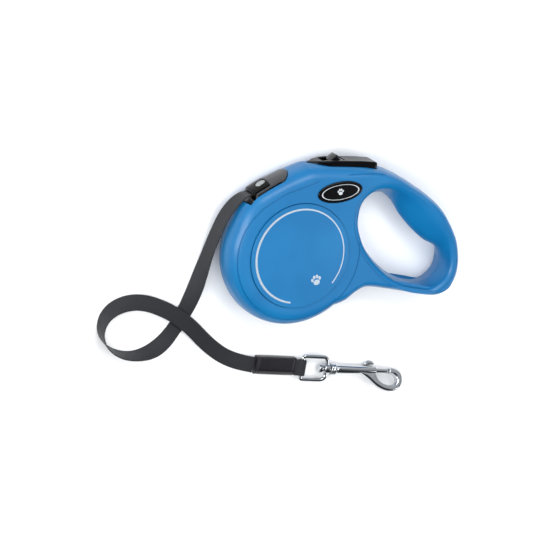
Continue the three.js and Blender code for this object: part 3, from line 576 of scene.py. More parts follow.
def shellSolid():
    # outer skin, inner skin one wall further in, and the two rings that join them at the parting plane
    lowZ, wall = housing["halfGap"], housing["wall"]
    n, m = len(outline), len(openingMiddle)
    points, faces, starts, first = [], [], [], 0
    for back, grow, bevel in ((False, 0.0, housing["edgeBevel"]), (True, -wall, housing["innerBevel"])):
        rim = rimRows(grow, housing["rimSteps"][back], lowZ, rimOutline)
        hole = openingRows(grow, housing["openingSteps"][back], lowZ, bevel)
        faces.append(gridFaces(len(rim), n, first=first, flip=back))
        faces.append(gridFaces(len(hole), m, first=first + rim[..., 0].size, flip=not back))
        fill = flatFill(rimOutline, openingMiddle)
        lastRim, lastHole = first + (len(rim) - 1) * n, first + rim[..., 0].size + (len(hole) - 1) * m
        fill = np.where(fill < n, fill + lastRim, fill - n + lastHole)
        faces.append(fill[:, ::-1] if back else fill)
        points += [rim.reshape(-1, 3), hole.reshape(-1, 3)]
        starts.append((first, first + rim[..., 0].size))
        first += rim[..., 0].size + hole[..., 0].size
    for count, outer, within in ((n, starts[0][0], starts[1][0]), (m, starts[1][1], starts[0][1])):
        j = np.arange(count)
        k = (j + 1) % count
        faces.append(np.stack([outer + j, within + j, within + k, outer + k], -1))
    return np.vstack(points), faces


def surfaceHeight(points):
    # height of the outer skin over a point: flat, falling as a superellipse near the outline
    gap = np.linalg.norm(points[:, None] - rimOutline[None], axis=2).min(1)
    rounding = roundingAt(points[:, 0])
    into = np.clip((rounding - gap) / rounding, 0, 1)
    return faceHalf * (1 - into**housing["rimPower"])**(1 / housing["rimPower"])


groove = {"radius": 0.42, "sunk": 0.24, "ringRadius": 41.0, "ringFrom": 19.0, "ringTo": -232.0,
          "topLeft": [(-14.6, 38.6), (-7.5, 41.4), (2.4, 45.2), (7.6, 47.6)],
          "underButton": [(25.5, 50.7), (34, 51.3), (45.8, 51.6), (53.5, 50.9)], "underRadius": 0.5,
          "endPoints": 6, "openingGap": 2.65, "openingRadius": 0.3, "sides": 10}


def grooveSolids():
    # thin tubes laid in the surface along the panel lines
    turn = np.radians(np.linspace(groove["ringFrom"], groove["ringTo"], 240))
    ring = np.column_stack([np.cos(turn), np.sin(turn)]) * groove["ringRadius"]
    ring = np.vstack([ring[:-6], throughPoints([ring[-6], *groove["topLeft"]], 14)[1:]])
    under = throughPoints(groove["underButton"], 12)
    made = []
    for line, radius in ((ring, groove["radius"]), (under, groove["underRadius"])):
        ends = np.minimum(np.arange(len(line)), np.arange(len(line))[::-1])
        taper = radius * np.clip((ends + 0.4) / groove["endPoints"], 0, 1)**0.5
        path = np.column_stack([line, surfaceHeight(line) - groove["sunk"]])
        made.append(sweepOf(path, np.column_stack([taper, taper]), groove["sides"]))
    rim = evenly(openingFace + outward(openingFace, 5) * groove["openingGap"], 200)
    path = np.column_stack([rim, np.full(len(rim), faceHalf - groove["sunk"] / 2)])
    made.append(sweepOf(path, groove["openingRadius"], groove["sides"], closed=True))
    return made


buttonHalf, noseLength = 6.5, 14


def buttonPlan(grow):
    # outline seen from above, in (x, z): a pointed nose and a square rear with soft corners
    half = buttonHalf + grow
    x = buttonFront
    nose = quadratic((x - 2 * grow, 0), (x + 5, half * 0.92), (x + noseLength, half), 14, True)
    end = buttonRear + grow
    corner = np.array([[end - 2, half], [end - 0.6, half - 0.6], [end, half - 2]])
    upper = np.vstack([nose, corner])
    lower = upper[1:][::-1] * [1, -1]
    return np.vstack([upper, lower])[::-1]


outletHalf = 8.8


def coverPlan(grow=0.0):
    # seen from above, (x, z): straight sides and a round right end
    turn = np.linspace(-math.pi / 2, math.pi / 2, 40)
    end = np.column_stack([-16.4 + (5.6 + grow) * np.cos(turn), (outletHalf + grow) * np.sin(turn)])
    return np.vstack([end, [[mouth - 8, outletHalf + grow], [mouth - 8, -outletHalf - grow]]])


def outletRegion(grow):
    corners = [(-10.5 + grow, drumRadius + 12), (-11 + grow, drumRadius + 2), (-14 + grow, drumRadius - 2 - grow),
               (mouth + 12, tapeLine + 2 - grow), (mouth + 7, tapeLine - 6 - grow), (mouth + 3, tapeLine - 6 - grow),
               (mouth - 6, tapeLine - 4 - grow), (mouth - 6, drumRadius + 12)]
    return np.array(corners)[::-1]


seats = {"disc": 33.3, "discDepth": 1.0, "badgeGap": 0.3, "badgeDepth": 0.7, "above": 5.0, "buttonGap": 0.5,
         "bore": 2.3, "outletGap": 0.3, "outletHalf": 9.1, "coverGap": 0.5}
badge = {"x": 22.0, "y": drumRadius - 5.7, "length": 30.0, "width": 13.0, "turn": 0.165, "low": 12.2, "high": 13.4,
         "edge": 0.45}


def badgeRing(grow):
    x, y = circle(0, 0, 1).T
    x, y = (badge["length"] / 2 + grow) * x, (badge["width"] / 2 + grow) * y
    c, s = math.cos(badge["turn"]), math.sin(badge["turn"])
    return np.column_stack([badge["x"] + x * c - y * s, badge["y"] + x * s + y * c])


def circle(x, y, radius, count=120):
    turn = np.arange(count) * 2 * math.pi / count
    return np.column_stack([x + radius * np.cos(turn), y + radius * np.sin(turn)])


screwPlaces = [crown(3, 1.8), grip(0.07, -13.5), grip(0.252, 46.6)]


def turnedOver(solid):
    # the same solid on the other side of the parting plane
    return solid[0] * [1, 1, -1], [f[:, ::-1] for f in solid[1]]


def makeShell(name, side):
    # the bores are cut from the back only; each cut is made on its own
    above = faceHalf + seats["above"]
    cutters = [prismOf(circle(0, 0, seats["disc"], 200), faceHalf - seats["discDepth"], above),
               prismOf(badgeRing(seats["badgeGap"]), faceHalf - seats["badgeDepth"], above),
               prismOf(buttonPlan(seats["buttonGap"]), drumRadius + 1.5, drumRadius + 30, "xz"), *grooveSolids()]
    solid = shellSolid()
    if side < 0:
        cutters += [prismOf(circle(x, y, seats["bore"], 40), 9, 20) for x, y in screwPlaces]
        solid, cutters = turnedOver(solid), [turnedOver(cutter) for cutter in cutters]
    piece = newMesh(name, placed(solid[0]), solid[1])
    for cutter in cutters:
        combined(piece, cutter, "DIFFERENCE", "MANIFOLD")
    space = prismOf(outletRegion(seats["outletGap"]), -seats["outletHalf"], seats["outletHalf"])
    outletSpace = pieceOf("outletSpace", space)
    combined(outletSpace, prismOf(coverPlan(seats["coverGap"]), 10, 90, "xz"), "INTERSECT", "MANIFOLD")
    return trimmed(piece, outletSpace, "DIFFERENCE", "MANIFOLD")


frontShell = makeShell("frontShell", 1)
backShell = makeShell("backShell", -1)
print("shells made")


# finishes
blue = {"base": "0C70A9", "deep": "04639C", "rough": 0.36, "grainScale": 2.6, "grainDepth": 0.012, "ink": "C9D6E2"}


def bluePlastic(name, look, printed=False):
    # satin moulded plastic: slow colour drift, a fine spark-eroded grain, and scattered scuffs that roughen it
    sheet = Sheet(name)
    where = places(sheet)
    drift = grain(sheet, where, 0.03, 2.0).step(0.35, 0.65)
    fine = grain(sheet, where, look["grainScale"], 2.0)
    scuff = grain(sheet, where, 0.35, 6.0, 0.7).step(0.62, 0.72)
    colour = sheet.mix(drift * 0.5, look["base"], look["deep"])
    rough = fine * 0.10 + scuff * 0.08 + (look["rough"] - 0.05)
    if printed:
        ink = sheetPrint(sheet, where)
        colour = sheet.mix(ink, colour, look["ink"])
        rough = rough - ink * 0.1
        sheet.set(Metallic=ink * 0.35)
    sheet.set(Base_Color=colour, Roughness=rough, Normal=sheet.bump(fine, look["grainDepth"] * mm, 0.5),
              Coat_Weight=0.08, Coat_Roughness=0.18, IOR=1.46)
    return sheet.material


ringPrint = {"radius": 29.6, "thin": 0.32, "thick": 0.7, "openFrom": -1.65, "openTo": -0.62, "soft": 0.02}
pawPrint = {"x": 13.2, "y": -15.5, "turn": 0.35, "size": 1.0}
pawPads = [(0, -1.1, 2.1, 1.7), (-2.5, 1.0, 0.85, 1.15), (-0.95, 2.5, 0.85, 1.2), (0.95, 2.5, 0.85, 1.2),
           (2.5, 1.0, 0.85, 1.15)]


def ellipseMask(x, y, cx, cy, a, b, soft):
    # 1 inside an ellipse, 0 outside
    return 1 - ((((x - cx) * (1 / a))**2 + ((y - cy) * (1 / b))**2).maths("SQRT")).step(1 - soft, 1 + soft)


def pawMask(x, y, size):
    # one broad pad and four toes
    whole = None
    for cx, cy, a, b in pawPads:
        one = ellipseMask(x, y, cx * size, cy * size, a * size, b * size, 0.06)
        whole = one if whole is None else whole.most(one)
    return whole


def turned(x, y, cx, cy, turn):
    c, s = math.cos(turn), math.sin(turn)
    return (x - cx) * c + (y - cy) * s, (y - cy) * c - (x - cx) * s


def sheetPrint(sheet, where):
    # a silver ring, wider on its left and open at the lower right, that ends at a paw
    x, y, _ = parts(sheet, where)
    radius = (x * x + y * y).maths("SQRT")
    angle = y.maths("ARCTAN2", x)
    look = ringPrint
    half = (0.5 - (x * (1 / 60))) * (look["thick"] - look["thin"]) + look["thin"]
    line = 1 - ((radius - look["radius"]).size() / half).step(0.9, 1.1)
    gap = angle.step(look["openFrom"] - look["soft"], look["openFrom"])
    gap = gap * (1 - angle.step(look["openTo"], look["openTo"] + look["soft"]))
    u, v = turned(x, y, pawPrint["x"], pawPrint["y"], pawPrint["turn"])
    return (line * (1 - gap)).most(pawMask(u, v, pawPrint["size"]))


black = {"base": "08080A", "rough": 0.14, "scuffed": "1D1E22", "shine": 0.5}
# the outlet cover's gloss black, with its base and scuff colours lifted to grey: a painted reflection of the light its
# top catches
paintedSheenBlack = {"base": "303135", "rough": 0.24, "scuffed": "404146", "shine": 0.5}
deepBlack = {"base": "040405", "rough": 0.07, "scuffed": "0A0A0C", "shine": 0.12}
buttonBlack = {"base": "08080A", "rough": 0.2, "scuffed": "1D1E22", "shine": 0.16}


silverInk = "C3C9CD"


def glossBlack(name, look, extra=None):
    # polished black moulding with a few hairline scuffs
    sheet = Sheet(name)
    where = places(sheet)
    scuff = grain(sheet, where, 1.3, 6.0, 0.75).step(0.55, 0.8)
    fine = grain(sheet, where, 3.5, 2.0)
    colour = sheet.mix(scuff * 0.25, look["base"], look["scuffed"])
    rough = scuff * 0.10 + look["rough"]
    if extra:
        ink = extra(sheet, where)
        colour = sheet.mix(ink, colour, silverInk)
    sheet.set(Base_Color=colour, Roughness=rough, Normal=sheet.bump(fine, 0.01 * mm, 0.3), IOR=1.5,
              Specular_IOR_Level=look["shine"])
    return sheet.material


ovalPrint = {"length": 12.4, "width": 4.6, "inner": (0.955, 0.975), "outer": (1.015, 1.035), "paw": 0.62}


def badgePrint(sheet, where):
    # a thin silver oval and a small paw
    look = ovalPrint
    x, y, _ = parts(sheet, where)
    u, v = turned(x, y, badge["x"], badge["y"], badge["turn"])
    far = (((u * (1 / look["length"]))**2 + (v * (1 / look["width"]))**2).maths("SQRT"))
    oval = far.step(*look["inner"]) * (1 - far.step(*look["outer"]))
    return oval.most(pawMask(u, v, look["paw"]))


webbing = {"base": "121317", "crownHighlightTone": "2E3238", "rough": 0.62, "weft": 0.62, "warp": 0.5, "twist": 0.21,
           "depth": 0.09, "sheen": 0.06}


def wovenTape(name, look):
    # plain weave from the piece's own map, in millimetres along and across: crowned yarns that pass
    # over and under each other, with a finer twist on each; the crowns are painted lighter as a highlight
    sheet = Sheet(name)
    along, across, _ = parts(sheet, sheet.node("UVMap", {"uv_map": "along"}))
    a, b = along * (math.pi / look["weft"]), across * (math.pi / look["warp"])
    over = (a.sine() * b.sine()).step(-0.25, 0.25)
    yarnA, yarnB = a.sine().size(), b.sine().size()
    height = over * yarnB + (1 - over) * yarnA
    twist = ((along + across * 1.7) * (2 * math.pi / look["twist"])).sine()
    fuzz = grain(sheet, places(sheet), 5.0, 4.0, 0.7)
    streak = grain(sheet, sheet.node("CombineXYZ", None, {0: along * 0.02, 1: across * 1.2, 2: 0.0}), 1.0, 3.0)
    # painted highlight: the colour is lighter on the yarn crowns, and random fuzz and streaks also vary the tone
    crownHighlightMix = (height * 0.55 + fuzz * 0.5 + streak * 0.3 - 0.35).step(0.0, 1.0)
    colour = sheet.mix(crownHighlightMix * 0.55, look["base"], look["crownHighlightTone"])
    normal = sheet.bump(height + twist * 0.08 + fuzz * 0.2, look["depth"] * mm, 0.8)
    sheet.set(Base_Color=colour, Roughness=height * -0.12 + look["rough"], Normal=normal,
              Sheen_Weight=look["sheen"], Sheen_Roughness=0.4, IOR=1.5)
    return sheet.material


# "fine" and "marks" are scale, detail and roughness of noises
moulded = {"base": "141219", "marked": "24222B", "rough": 0.36, "fine": (4.0, 3.0, 0.5), "marks": (0.5, 5.0, 0.7),
           "from": (0.5, 0.8), "tint": 0.5, "roughened": 0.12, "depth": 0.02}
plated = {"base": "C8CBCE", "marked": "8F9397", "rough": 0.08, "fine": (0.6, 2.0, 0.5), "marks": (2.2, 6.0, 0.8),
          "from": (0.56, 0.75), "tint": 0.4, "roughened": 0.12, "depth": 0.05}
pale = {**plated, "base": "A9ADAE", "rough": 0.3}
steel = {"base": "8C9196", "marked": "6A6F74", "rough": 0.22, "grain": (3.0, 4.0, 0.6), "roughened": 0.2, "depth": 0.01}
nylon = {"base": "DAD7CC", "marked": "C6C2B4", "rough": 0.38, "cloud": (0.12, 4.0), "fine": (3.0, 2.0), "depth": 0.02}


def markedSurface(name, look, **inputs):
    # a fine relief under small handling marks, which also roughen it
    sheet = Sheet(name)
    where = places(sheet)
    fine = grain(sheet, where, *look["fine"])
    marks = grain(sheet, where, *look["marks"]).step(*look["from"])
    sheet.set(Base_Color=sheet.mix(marks * look["tint"], look["base"], look["marked"]),
              Roughness=marks * look["roughened"] + look["rough"],
              Normal=sheet.bump(fine, look["depth"] * mm, 0.5), **inputs)
    return sheet.material


def plainSteel(name, look):
    sheet = Sheet(name)
    drawn = grain(sheet, places(sheet), *look["grain"])
    sheet.set(Base_Color=sheet.mix(drawn, look["base"], look["marked"]),
              Roughness=drawn * look["roughened"] + look["rough"],
              Normal=sheet.bump(drawn, look["depth"] * mm, 0.5), Metallic=1.0)
    return sheet.material


def naturalNylon(name, look):
    sheet = Sheet(name)
    where = places(sheet)
    cloud, fine = grain(sheet, where, *look["cloud"]), grain(sheet, where, *look["fine"])
    sheet.set(Base_Color=sheet.mix(cloud, look["base"], look["marked"]), Roughness=fine * 0.15 + look["rough"],
              Normal=sheet.bump(fine, look["depth"] * mm, 0.4))
    return sheet.material


finishes = {
    "housing": bluePlastic("housingBlue", blue),
    "label": bluePlastic("labelBlue", blue, printed=True),
    "gloss": glossBlack("glossBlack", black),
    "badge": glossBlack("badgeBlack", black, badgePrint),
    "cover": glossBlack("coverBlack", paintedSheenBlack),
    "button": glossBlack("buttonBlack", buttonBlack),
    "buckle": glossBlack("buckleBlack", deepBlack),
    "webbing": wovenTape("wovenWebbing", webbing),
    "moulded": markedSurface("mouldedBlack", moulded, IOR=1.5),
    "chrome": markedSurface("platedMetal", plated, Metallic=1.0),
    "steel": plainSteel("plainSteel", steel),
    "spring": plainSteel("springSteel", {**steel, "base": "5C6166"}),
    "nylon": naturalNylon("naturalNylon", nylon),
    "inset": markedSurface("paleInset", pale, Metallic=1.0),
}


def dress(piece, finish):
    piece.data.materials.clear()
    piece.data.materials.append(finishes[finish])


def adopt(piece, body, slot, finish, *nodes):
    # the piece stands for the nodes, rides on their body and wears the finish
    dress(piece, finish)
    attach(piece, body)
    if nodes:
        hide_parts(*nodes)
    return piece


adopt(frontShell, "housing", "housing_plastic", "housing", "front_shell")
adopt(backShell, "housing", "housing_plastic", "housing", "back_shell")


# label discs and badges
disc = {"radius": 33.0, "low": faceHalf - 0.7, "high": faceHalf + 1.2, "edge": 0.45}


def makeDisc(name, side, node):
    # a low disc with a soft edge, turned about the spool axle
    radius, low, high = disc["radius"], disc["low"], disc["high"]
    profile = softCorners([(0, low), (radius, low), (radius, high), (0, high)], disc["edge"], 7)
    solid = lathe(profile, 220)
    solid = solid if side > 0 else turnedOver(solid)
    return adopt(pieceOf(name, solid, 50), "housing", "label_plastic", "label", node)


makeDisc("frontLabelDisc", 1, "front_label_disc")
makeDisc("backLabelDisc", -1, "back_label_disc")


def makeBadge(name, side, node):
    low, high = badge["low"], badge["high"]
    solid = plateOf(badgeRing(0), (high - low) / 2, badge["edge"], 2.0, 6, (high + low) / 2)
    solid = solid if side > 0 else turnedOver(solid)
    return adopt(pieceOf(name, solid, 50), "housing", "gloss_black_plastic", "badge", node)


makeBadge("frontBadge", 1, "front_badge")
makeBadge("backBadge", -1, "back_badge")
print("labels made")


# tape outside the housing: x, y, z and the lean of its width from upright, in degrees
tapeRoute = np.array([
    (-34.2, 35.8, 0, 0), (-38, 34, 0, 6), (-42, 30, -0.6, 12), (-45.3, 24.4, -1.8, 15), (-47.8, 17.5, -3.4, 16),
    (-49.8, 9, -5.2, 16), (-51.5, 0, -6.9, 18), (-53, -9.3, -8.4, 24), (-54.5, -18, -9.4, 38), (-56.2, -27, -10.3, 53),
    (-58.4, -36, -11.5, 70), (-61.6, -45.5, -12.8, 84), (-66.2, -54.4, -13, 86), (-72.8, -62.2, -11.7, 70),
    (-81.2, -67.4, -9.85, 44), (-91, -69.8, -8.95, 24), (-100.6, -69.2, -8.8, 17), (-108.8, -65.8, -8.7, 11),
    (-114.4, -60.4, -8.6, 4), (-116.9, -53.6, -8.6, -4), (-115.4, -46.4, -8.8, -18), (-110.6, -41, -9.3, -36),
    (-103.6, -37.8, -10.2, -54), (-95.2, -36.6, -11, -68), (-86.2, -37.5, -11.2, -77), (-77.4, -40.2, -11.2, -83),
    (-69.4, -43.6, -11.1, -87), (-61.8, -48, -11.1, -90), (-54, -53.7, -11.5, -90), (-46.3, -60.2, -12.3, -90),
    (-38.2, -66.4, -13, -90), (-29.4, -71.6, -13.2, -90), (-20, -75, -12.6, -90), (-9.2, -77, -11, -90)])
tape = {"width": 10.0, "thickness": 0.7, "perSpan": 16, "round": 28}


def routeFrames(route, perSpan):
    # middle line and the direction of the tape's width: upright, turned by the lean to its left
    line = throughPoints(route, perSpan)
    middle, lean = line[:, :3], np.radians(line[:, 3])
    along = np.gradient(middle, axis=0)
    along /= np.linalg.norm(along, axis=1)[:, None]
    up = np.broadcast_to([0.0, 0.0, 1.0], along.shape)
    left = np.cross(up, along)
    left /= np.linalg.norm(left, axis=1)[:, None]
    return middle, up * np.cos(lean)[:, None] + left * np.sin(lean)[:, None]


def ribbonOn(middle, wide, look):
    # a flat section with half-round edges, width by thickness, carried along a line; its map runs in
    # millimetres along the line and round the section
    along = np.gradient(middle, axis=0)
    along /= np.linalg.norm(along, axis=1)[:, None]
    wide = wide - along * np.einsum("ij,ij->i", wide, along)[:, None]
    wide /= np.linalg.norm(wide, axis=1)[:, None]
    thick = np.cross(along, wide)
    sides = look["round"]
    half, depth = look["width"] / 2, look["thickness"] / 2
    quarter = np.sin(np.linspace(-math.pi / 2, math.pi / 2, sides // 2)) * half
    across = np.concatenate([quarter, quarter[::-1]])
    edge = np.clip((half - np.abs(across)) / depth, 0.06, 1)
    height = depth * np.sqrt(1 - (1 - edge)**2)
    height *= np.concatenate([np.ones(sides // 2), -np.ones(sides // 2)])
    rings = middle[:, None] + wide[:, None] * across[None, :, None] + thick[:, None] * height[None, :, None]
    points, faces = tubeOf(rings)
    travelled = lengthAlong(middle, closed=False)
    uv = np.stack(np.broadcast_arrays(travelled[:, None], across[None]), -1).reshape(-1, 2)
    return (points, faces), np.vstack([uv, uv[:1], uv[-1:]]), travelled[-1]


tapeMiddle, tapeWide = routeFrames(tapeRoute, tape["perSpan"])
tapeSolid, tapeMap, tapeRun = ribbonOn(tapeMiddle, tapeWide, tape)
outerTape = adopt(pieceOf("outerTape", tapeSolid, 60, tapeMap), "tape", "webbing", "webbing", "tape_outside")
print("tape length", round(tapeRun, 1))

insideLine = np.column_stack([np.linspace(-34.0, 26, 24), np.full(24, tapeLine), np.zeros(24)])
insideSolid, insideMap, _ = ribbonOn(insideLine, np.broadcast_to([0.0, 0, 1], insideLine.shape), tape)
adopt(pieceOf("innerTape", insideSolid, 60, insideMap), "tape", "webbing", "webbing", "tape_inside")


pack = {"inner": 23.8, "outer": 35.14, "half": 5.0, "turn": 0.7, "perTurn": 4, "dent": 0.12, "sides": 140}


def makePack(look):
    # wound tape: a thick ring whose two sides show the edge of every turn
    outer, half, sides = look["outer"], look["half"], look["sides"]
    radii = np.arange(look["inner"], outer, look["turn"] / look["perTurn"])
    dent = look["dent"] * (np.arange(len(radii)) % look["perTurn"] == 0)
    side = np.column_stack([radii, half - dent])
    profile = np.vstack([side, [[outer, half], [outer, -half]], (side * [1, -1])[::-1]])
    turns = np.arange(sides) * 2 * math.pi / sides
    rings = np.stack([profile[None, :, 0] * np.cos(turns)[:, None], profile[None, :, 0] * np.sin(turns)[:, None],
                      np.broadcast_to(profile[None, :, 1], (sides, len(profile)))], -1)
    faces = gridFaces(sides + 1, len(profile)) % (sides * len(profile))
    uv = np.stack(np.broadcast_arrays(turns[:, None] * outer, profile[None, :, 1]), -1).reshape(-1, 2)
    return pieceOf("woundTape", (rings.reshape(-1, 3), [faces]), 40, uv)


adopt(makePack(pack), "reel", "webbing", "webbing", "tape_pack")


# brake button and lock
button = {"under": 53.2, "edge": 0.8, "endRound": 2.1, "ribs": 0.16, "ribPitch": 2.1, "ribHalf": 4.6,
          "ribFrom": 28.6, "ribTo": 46, "recessFrom": 11.7, "recessTo": 27.3, "recessDepth": 1.8, "recessHalf": 3.9}


def softRectangle(halfWide, low, high, radius, perCorner=7, perSide=15):
    # a rectangle with quarter-round corners, counter-clockwise, as (across, up); arrays give many at once
    sizes = (halfWide, low, high, radius)
    halfWide, low, high, radius = [np.atleast_1d(np.asarray(v, float))[:, None] for v in sizes]
    radius = np.minimum(radius, np.minimum(halfWide, (high - low) / 2) * 0.98)
    rows = []
    lower, upper = low + radius, high - radius
    for turn, sx, y in ((-0.5, 1, lower), (0.0, 1, upper), (0.5, -1, upper), (1.0, -1, lower)):
        a = (turn + np.linspace(0, 0.5, perCorner)[None]) * math.pi
        rows.append(np.stack([sx * (halfWide - radius) + radius * np.cos(a), y + radius * np.sin(a)], -1))
        if turn == 0.0:
            t = np.linspace(0, 1, perSide + 2)[None, 1:-1]
            wide = (halfWide - radius) * (1 - 2 * t)
            rows.append(np.stack([wide, np.broadcast_to(high, wide.shape)], -1))
    return np.concatenate(rows, 1)


def makeButton():
    # sections along x: the top climbs from the nose, the width follows the plan, and both ends round off
    look, deep = button, button["endRound"]
    x = np.concatenate([buttonFront + noseLength * np.linspace(0.01, 1, 40)**1.6,
                        np.linspace(buttonFront + noseLength + 0.3, buttonRear - deep - 0.1, 50),
                        buttonRear - deep * np.cos(np.linspace(0, 1, 16) * math.pi / 2)])
    plan = buttonPlan(0)[::-1]
    plan = plan[:len(plan) // 2 + 1]
    half = np.interp(x, plan[:, 0], np.maximum.accumulate(np.where(plan[:, 0] > 40, buttonHalf, plan[:, 1])))
    fall = np.clip((x - (buttonRear - deep)) / deep, 0, 1)
    fall = 1 - np.sqrt(1 - np.minimum(fall, 0.999)**2)
    half = half - 1.6 * fall
    rise = [(buttonFront, -2.2), (buttonFront + 5, -1.1), (buttonFront + 11, -0.35), (buttonFront + 16, 0),
            (buttonRear - 10, 0), (buttonRear, -0.5)]
    top = buttonTop + np.interp(x, *zip(*rise)) - 1.4 * fall
    low = np.interp(x, [buttonFront, buttonFront + 6], [buttonTop - 3.2, look["under"]])
    section = softRectangle(half, low, top, np.minimum(look["edge"], half * 0.6))
    across, up = section[..., 0], section[..., 1]
    onTop = (up > top[:, None] - 0.05) & (np.abs(across) < look["ribHalf"])
    fade = np.clip((x - look["ribFrom"]) / 1.2, 0, 1) * np.clip((look["ribTo"] - x) / 1.5, 0, 1)
    ribs = (0.5 - 0.5 * np.cos(2 * math.pi * across / look["ribPitch"])) * look["ribs"]
    up = up - np.where(onTop, ribs * fade[:, None], 0)
    rings = np.stack([np.broadcast_to(x[:, None], across.shape), up, across], -1)
    piece = pieceOf("brakeThumbButton", tubeOf(rings), 45)
    return combined(piece, blockOf(look["recessFrom"], look["recessTo"], buttonTop - look["recessDepth"],
                                   buttonTop + 7, -look["recessHalf"], look["recessHalf"]))


lock = {"half": 3.6, "rounding": 0.45}


def makeLock():
    # a low wedge: a long slope towards the nose, a steep hollow rear
    low = buttonTop - 1.5
    side = [(17, low), (27, low), (27, buttonTop - 0.3), (24.6, buttonTop + 0.1), (23.0, buttonTop + 0.9),
            (22.2, buttonTop + 2.9), (21.0, buttonTop + 2.9), (17, buttonTop - 0.8)]
    ring = evenly(softRing(side, 0.6, 6), 150)
    return pieceOf("lockSliderWedge", plateOf(ring, lock["half"], lock["rounding"], 2.0, 6), 50)


adopt(makeButton(), "brake", "gloss_black_plastic", "button", "brake_button")
adopt(makeLock(), "lock", "gloss_black_plastic", "gloss", "lock_slider")
print("brake made")


# outlet cover and stop buckle
def bodySolid(grow):
    # the housing's outside with no hand opening, moved outwards
    upper = rimRows(grow, 20, 0.02, outline)
    rows = np.concatenate([(upper * [1, 1, -1])[::-1], upper])
    count = len(outline)
    fill = flatFill(outline)
    last = (len(rows) - 1) * count
    return rows.reshape(-1, 3), [gridFaces(len(rows), count), fill + last, fill[:, ::-1]]


buckleHalf, buckleRear, buckleTop = 7.1, mouth + 10, drumRadius + 20
lipTop = tapeLine - 0.35 - 2.2
slot = {"half": 0.65, "across": 5.3, "from": mouth - 9, "reel": 41.2}
inset = {"length": 3.3, "width": 2.5, "rim": 0.35, "foot": 0.6, "height": 1.3, "slope": 0.55, "sides": 80,
         "place": (mouth + 6.6, tapeLine + 6.2, 1)}


def edged(piece, width, angle=38, segments=3):
    # rounds the piece's sharp edges
    change = piece.modifiers.new("edges", "BEVEL")
    change.width, change.segments, change.limit_method = width * mm, segments, "ANGLE"
    change.angle_limit, change.harden_normals = math.radians(angle), False
    return settled(piece, angle=50)


def clearTape(piece):
    # the slot for the tape, and room for the reel
    combined(piece, blockOf(slot["from"], 0, tapeLine - slot["half"], tapeLine + slot["half"], -slot["across"],
                            slot["across"]))
    combined(piece, prismOf(circle(0, 0, slot["reel"], 240), -12, 12))


def makeCover():
    piece = pieceOf("outletCover", bodySolid(0.4), 40)
    combined(piece, prismOf(evenly(softRing(outletRegion(0), 1.0), 160), -outletHalf, outletHalf), "INTERSECT")
    combined(piece, prismOf(coverPlan(), 20, 80, "xz"), "INTERSECT")
    combined(piece, blockOf(mouth - 20, buckleRear, lipTop, buckleTop, -buckleHalf - 0.3, buckleHalf + 0.3))
    clearTape(piece)
    return edged(piece, 0.22)


def makeBuckle():
    piece = pieceOf("stopBuckleBody", bodySolid(0.9), 40)
    block = [(mouth - 5.2, lipTop + 0.3), (buckleRear - 0.3, lipTop + 0.3), (buckleRear - 0.3, 60), (mouth - 5.2, 60)]
    combined(piece, prismOf(np.array(block), -buckleHalf, buckleHalf), "INTERSECT")
    clearTape(piece)
    combined(piece, insetOf(0.3, 4.0, False))
    return edged(piece, 0.35)


def insetOf(grow, high, domed=True):
    # an oval plug square to the buckle's sloping top; its own top is a low dome
    look, sides = inset, inset["sides"]
    turn = np.arange(sides) * 2 * math.pi / sides
    oval = np.column_stack([(look["length"] + grow) * np.cos(turn), (look["width"] + grow) * np.sin(turn)])
    rise = np.linspace(0, math.pi / 2, 9)[:-1] if domed else None
    share = np.cos(rise) if domed else [1.0]
    height = look["rim"] + (high - look["rim"]) * np.sin(rise) if domed else [high]
    share, height = [1.0, *share], [-look["foot"] - grow, *height]
    points, faces = tubeOf(np.array([np.column_stack([oval[:, 0] * s, np.full(sides, h), -oval[:, 1] * s])
                                     for s, h in zip(share, height)]))
    c, s = math.cos(look["slope"]), math.sin(look["slope"])
    x, y, z = points.T
    return facingOut((np.column_stack([x * c - y * s, x * s + y * c, z]) + look["place"], faces))


adopt(makeCover(), "housing", "gloss_black_plastic", "cover", "outlet_guide")
adopt(makeBuckle(), "tape", "gloss_black_plastic", "buckle", "stop_buckle")
adopt(pieceOf("buckleInset", insetOf(0, inset["height"]), 60), "tape", "pale_inset", "inset", "stop_inset")
print("outlet made")


# ferrule, eye and snap, drawn along their own x axis
heading = -0.045
ferrule = {"length": 27.5, "half": 6.1, "height": 5.4, "corner": 1.1, "band": 1.7, "bandDepth": 0.28,
           "bandWidth": 0.22, "endRound": 0.5, "crown": 0.10, "crease": 2.6, "fall": 0.75, "hollow": 0.22}
tapeEnd, floorZ, eyeGap = (-9.2, -77), -13.8, 32.9
eyePlace = np.array([tapeEnd[0] + eyeGap * math.cos(heading), tapeEnd[1] + eyeGap * math.sin(heading), floorZ + 4.3])
ferrulePlace = np.array([tapeEnd[0] + 0.9, tapeEnd[1], floorZ + 2.8])


def carried(solid, place, roll=0.0):
    # turns a solid about its own x axis, then to the heading, and sets it in its place
    p, faces = solid
    c, s = math.cos(roll), math.sin(roll)
    y, z = p[:, 1] * c - p[:, 2] * s, p[:, 1] * s + p[:, 2] * c
    c, s = math.cos(heading), math.sin(heading)
    return np.column_stack([p[:, 0] * c - y * s, p[:, 0] * s + y * c, z]) + place, faces


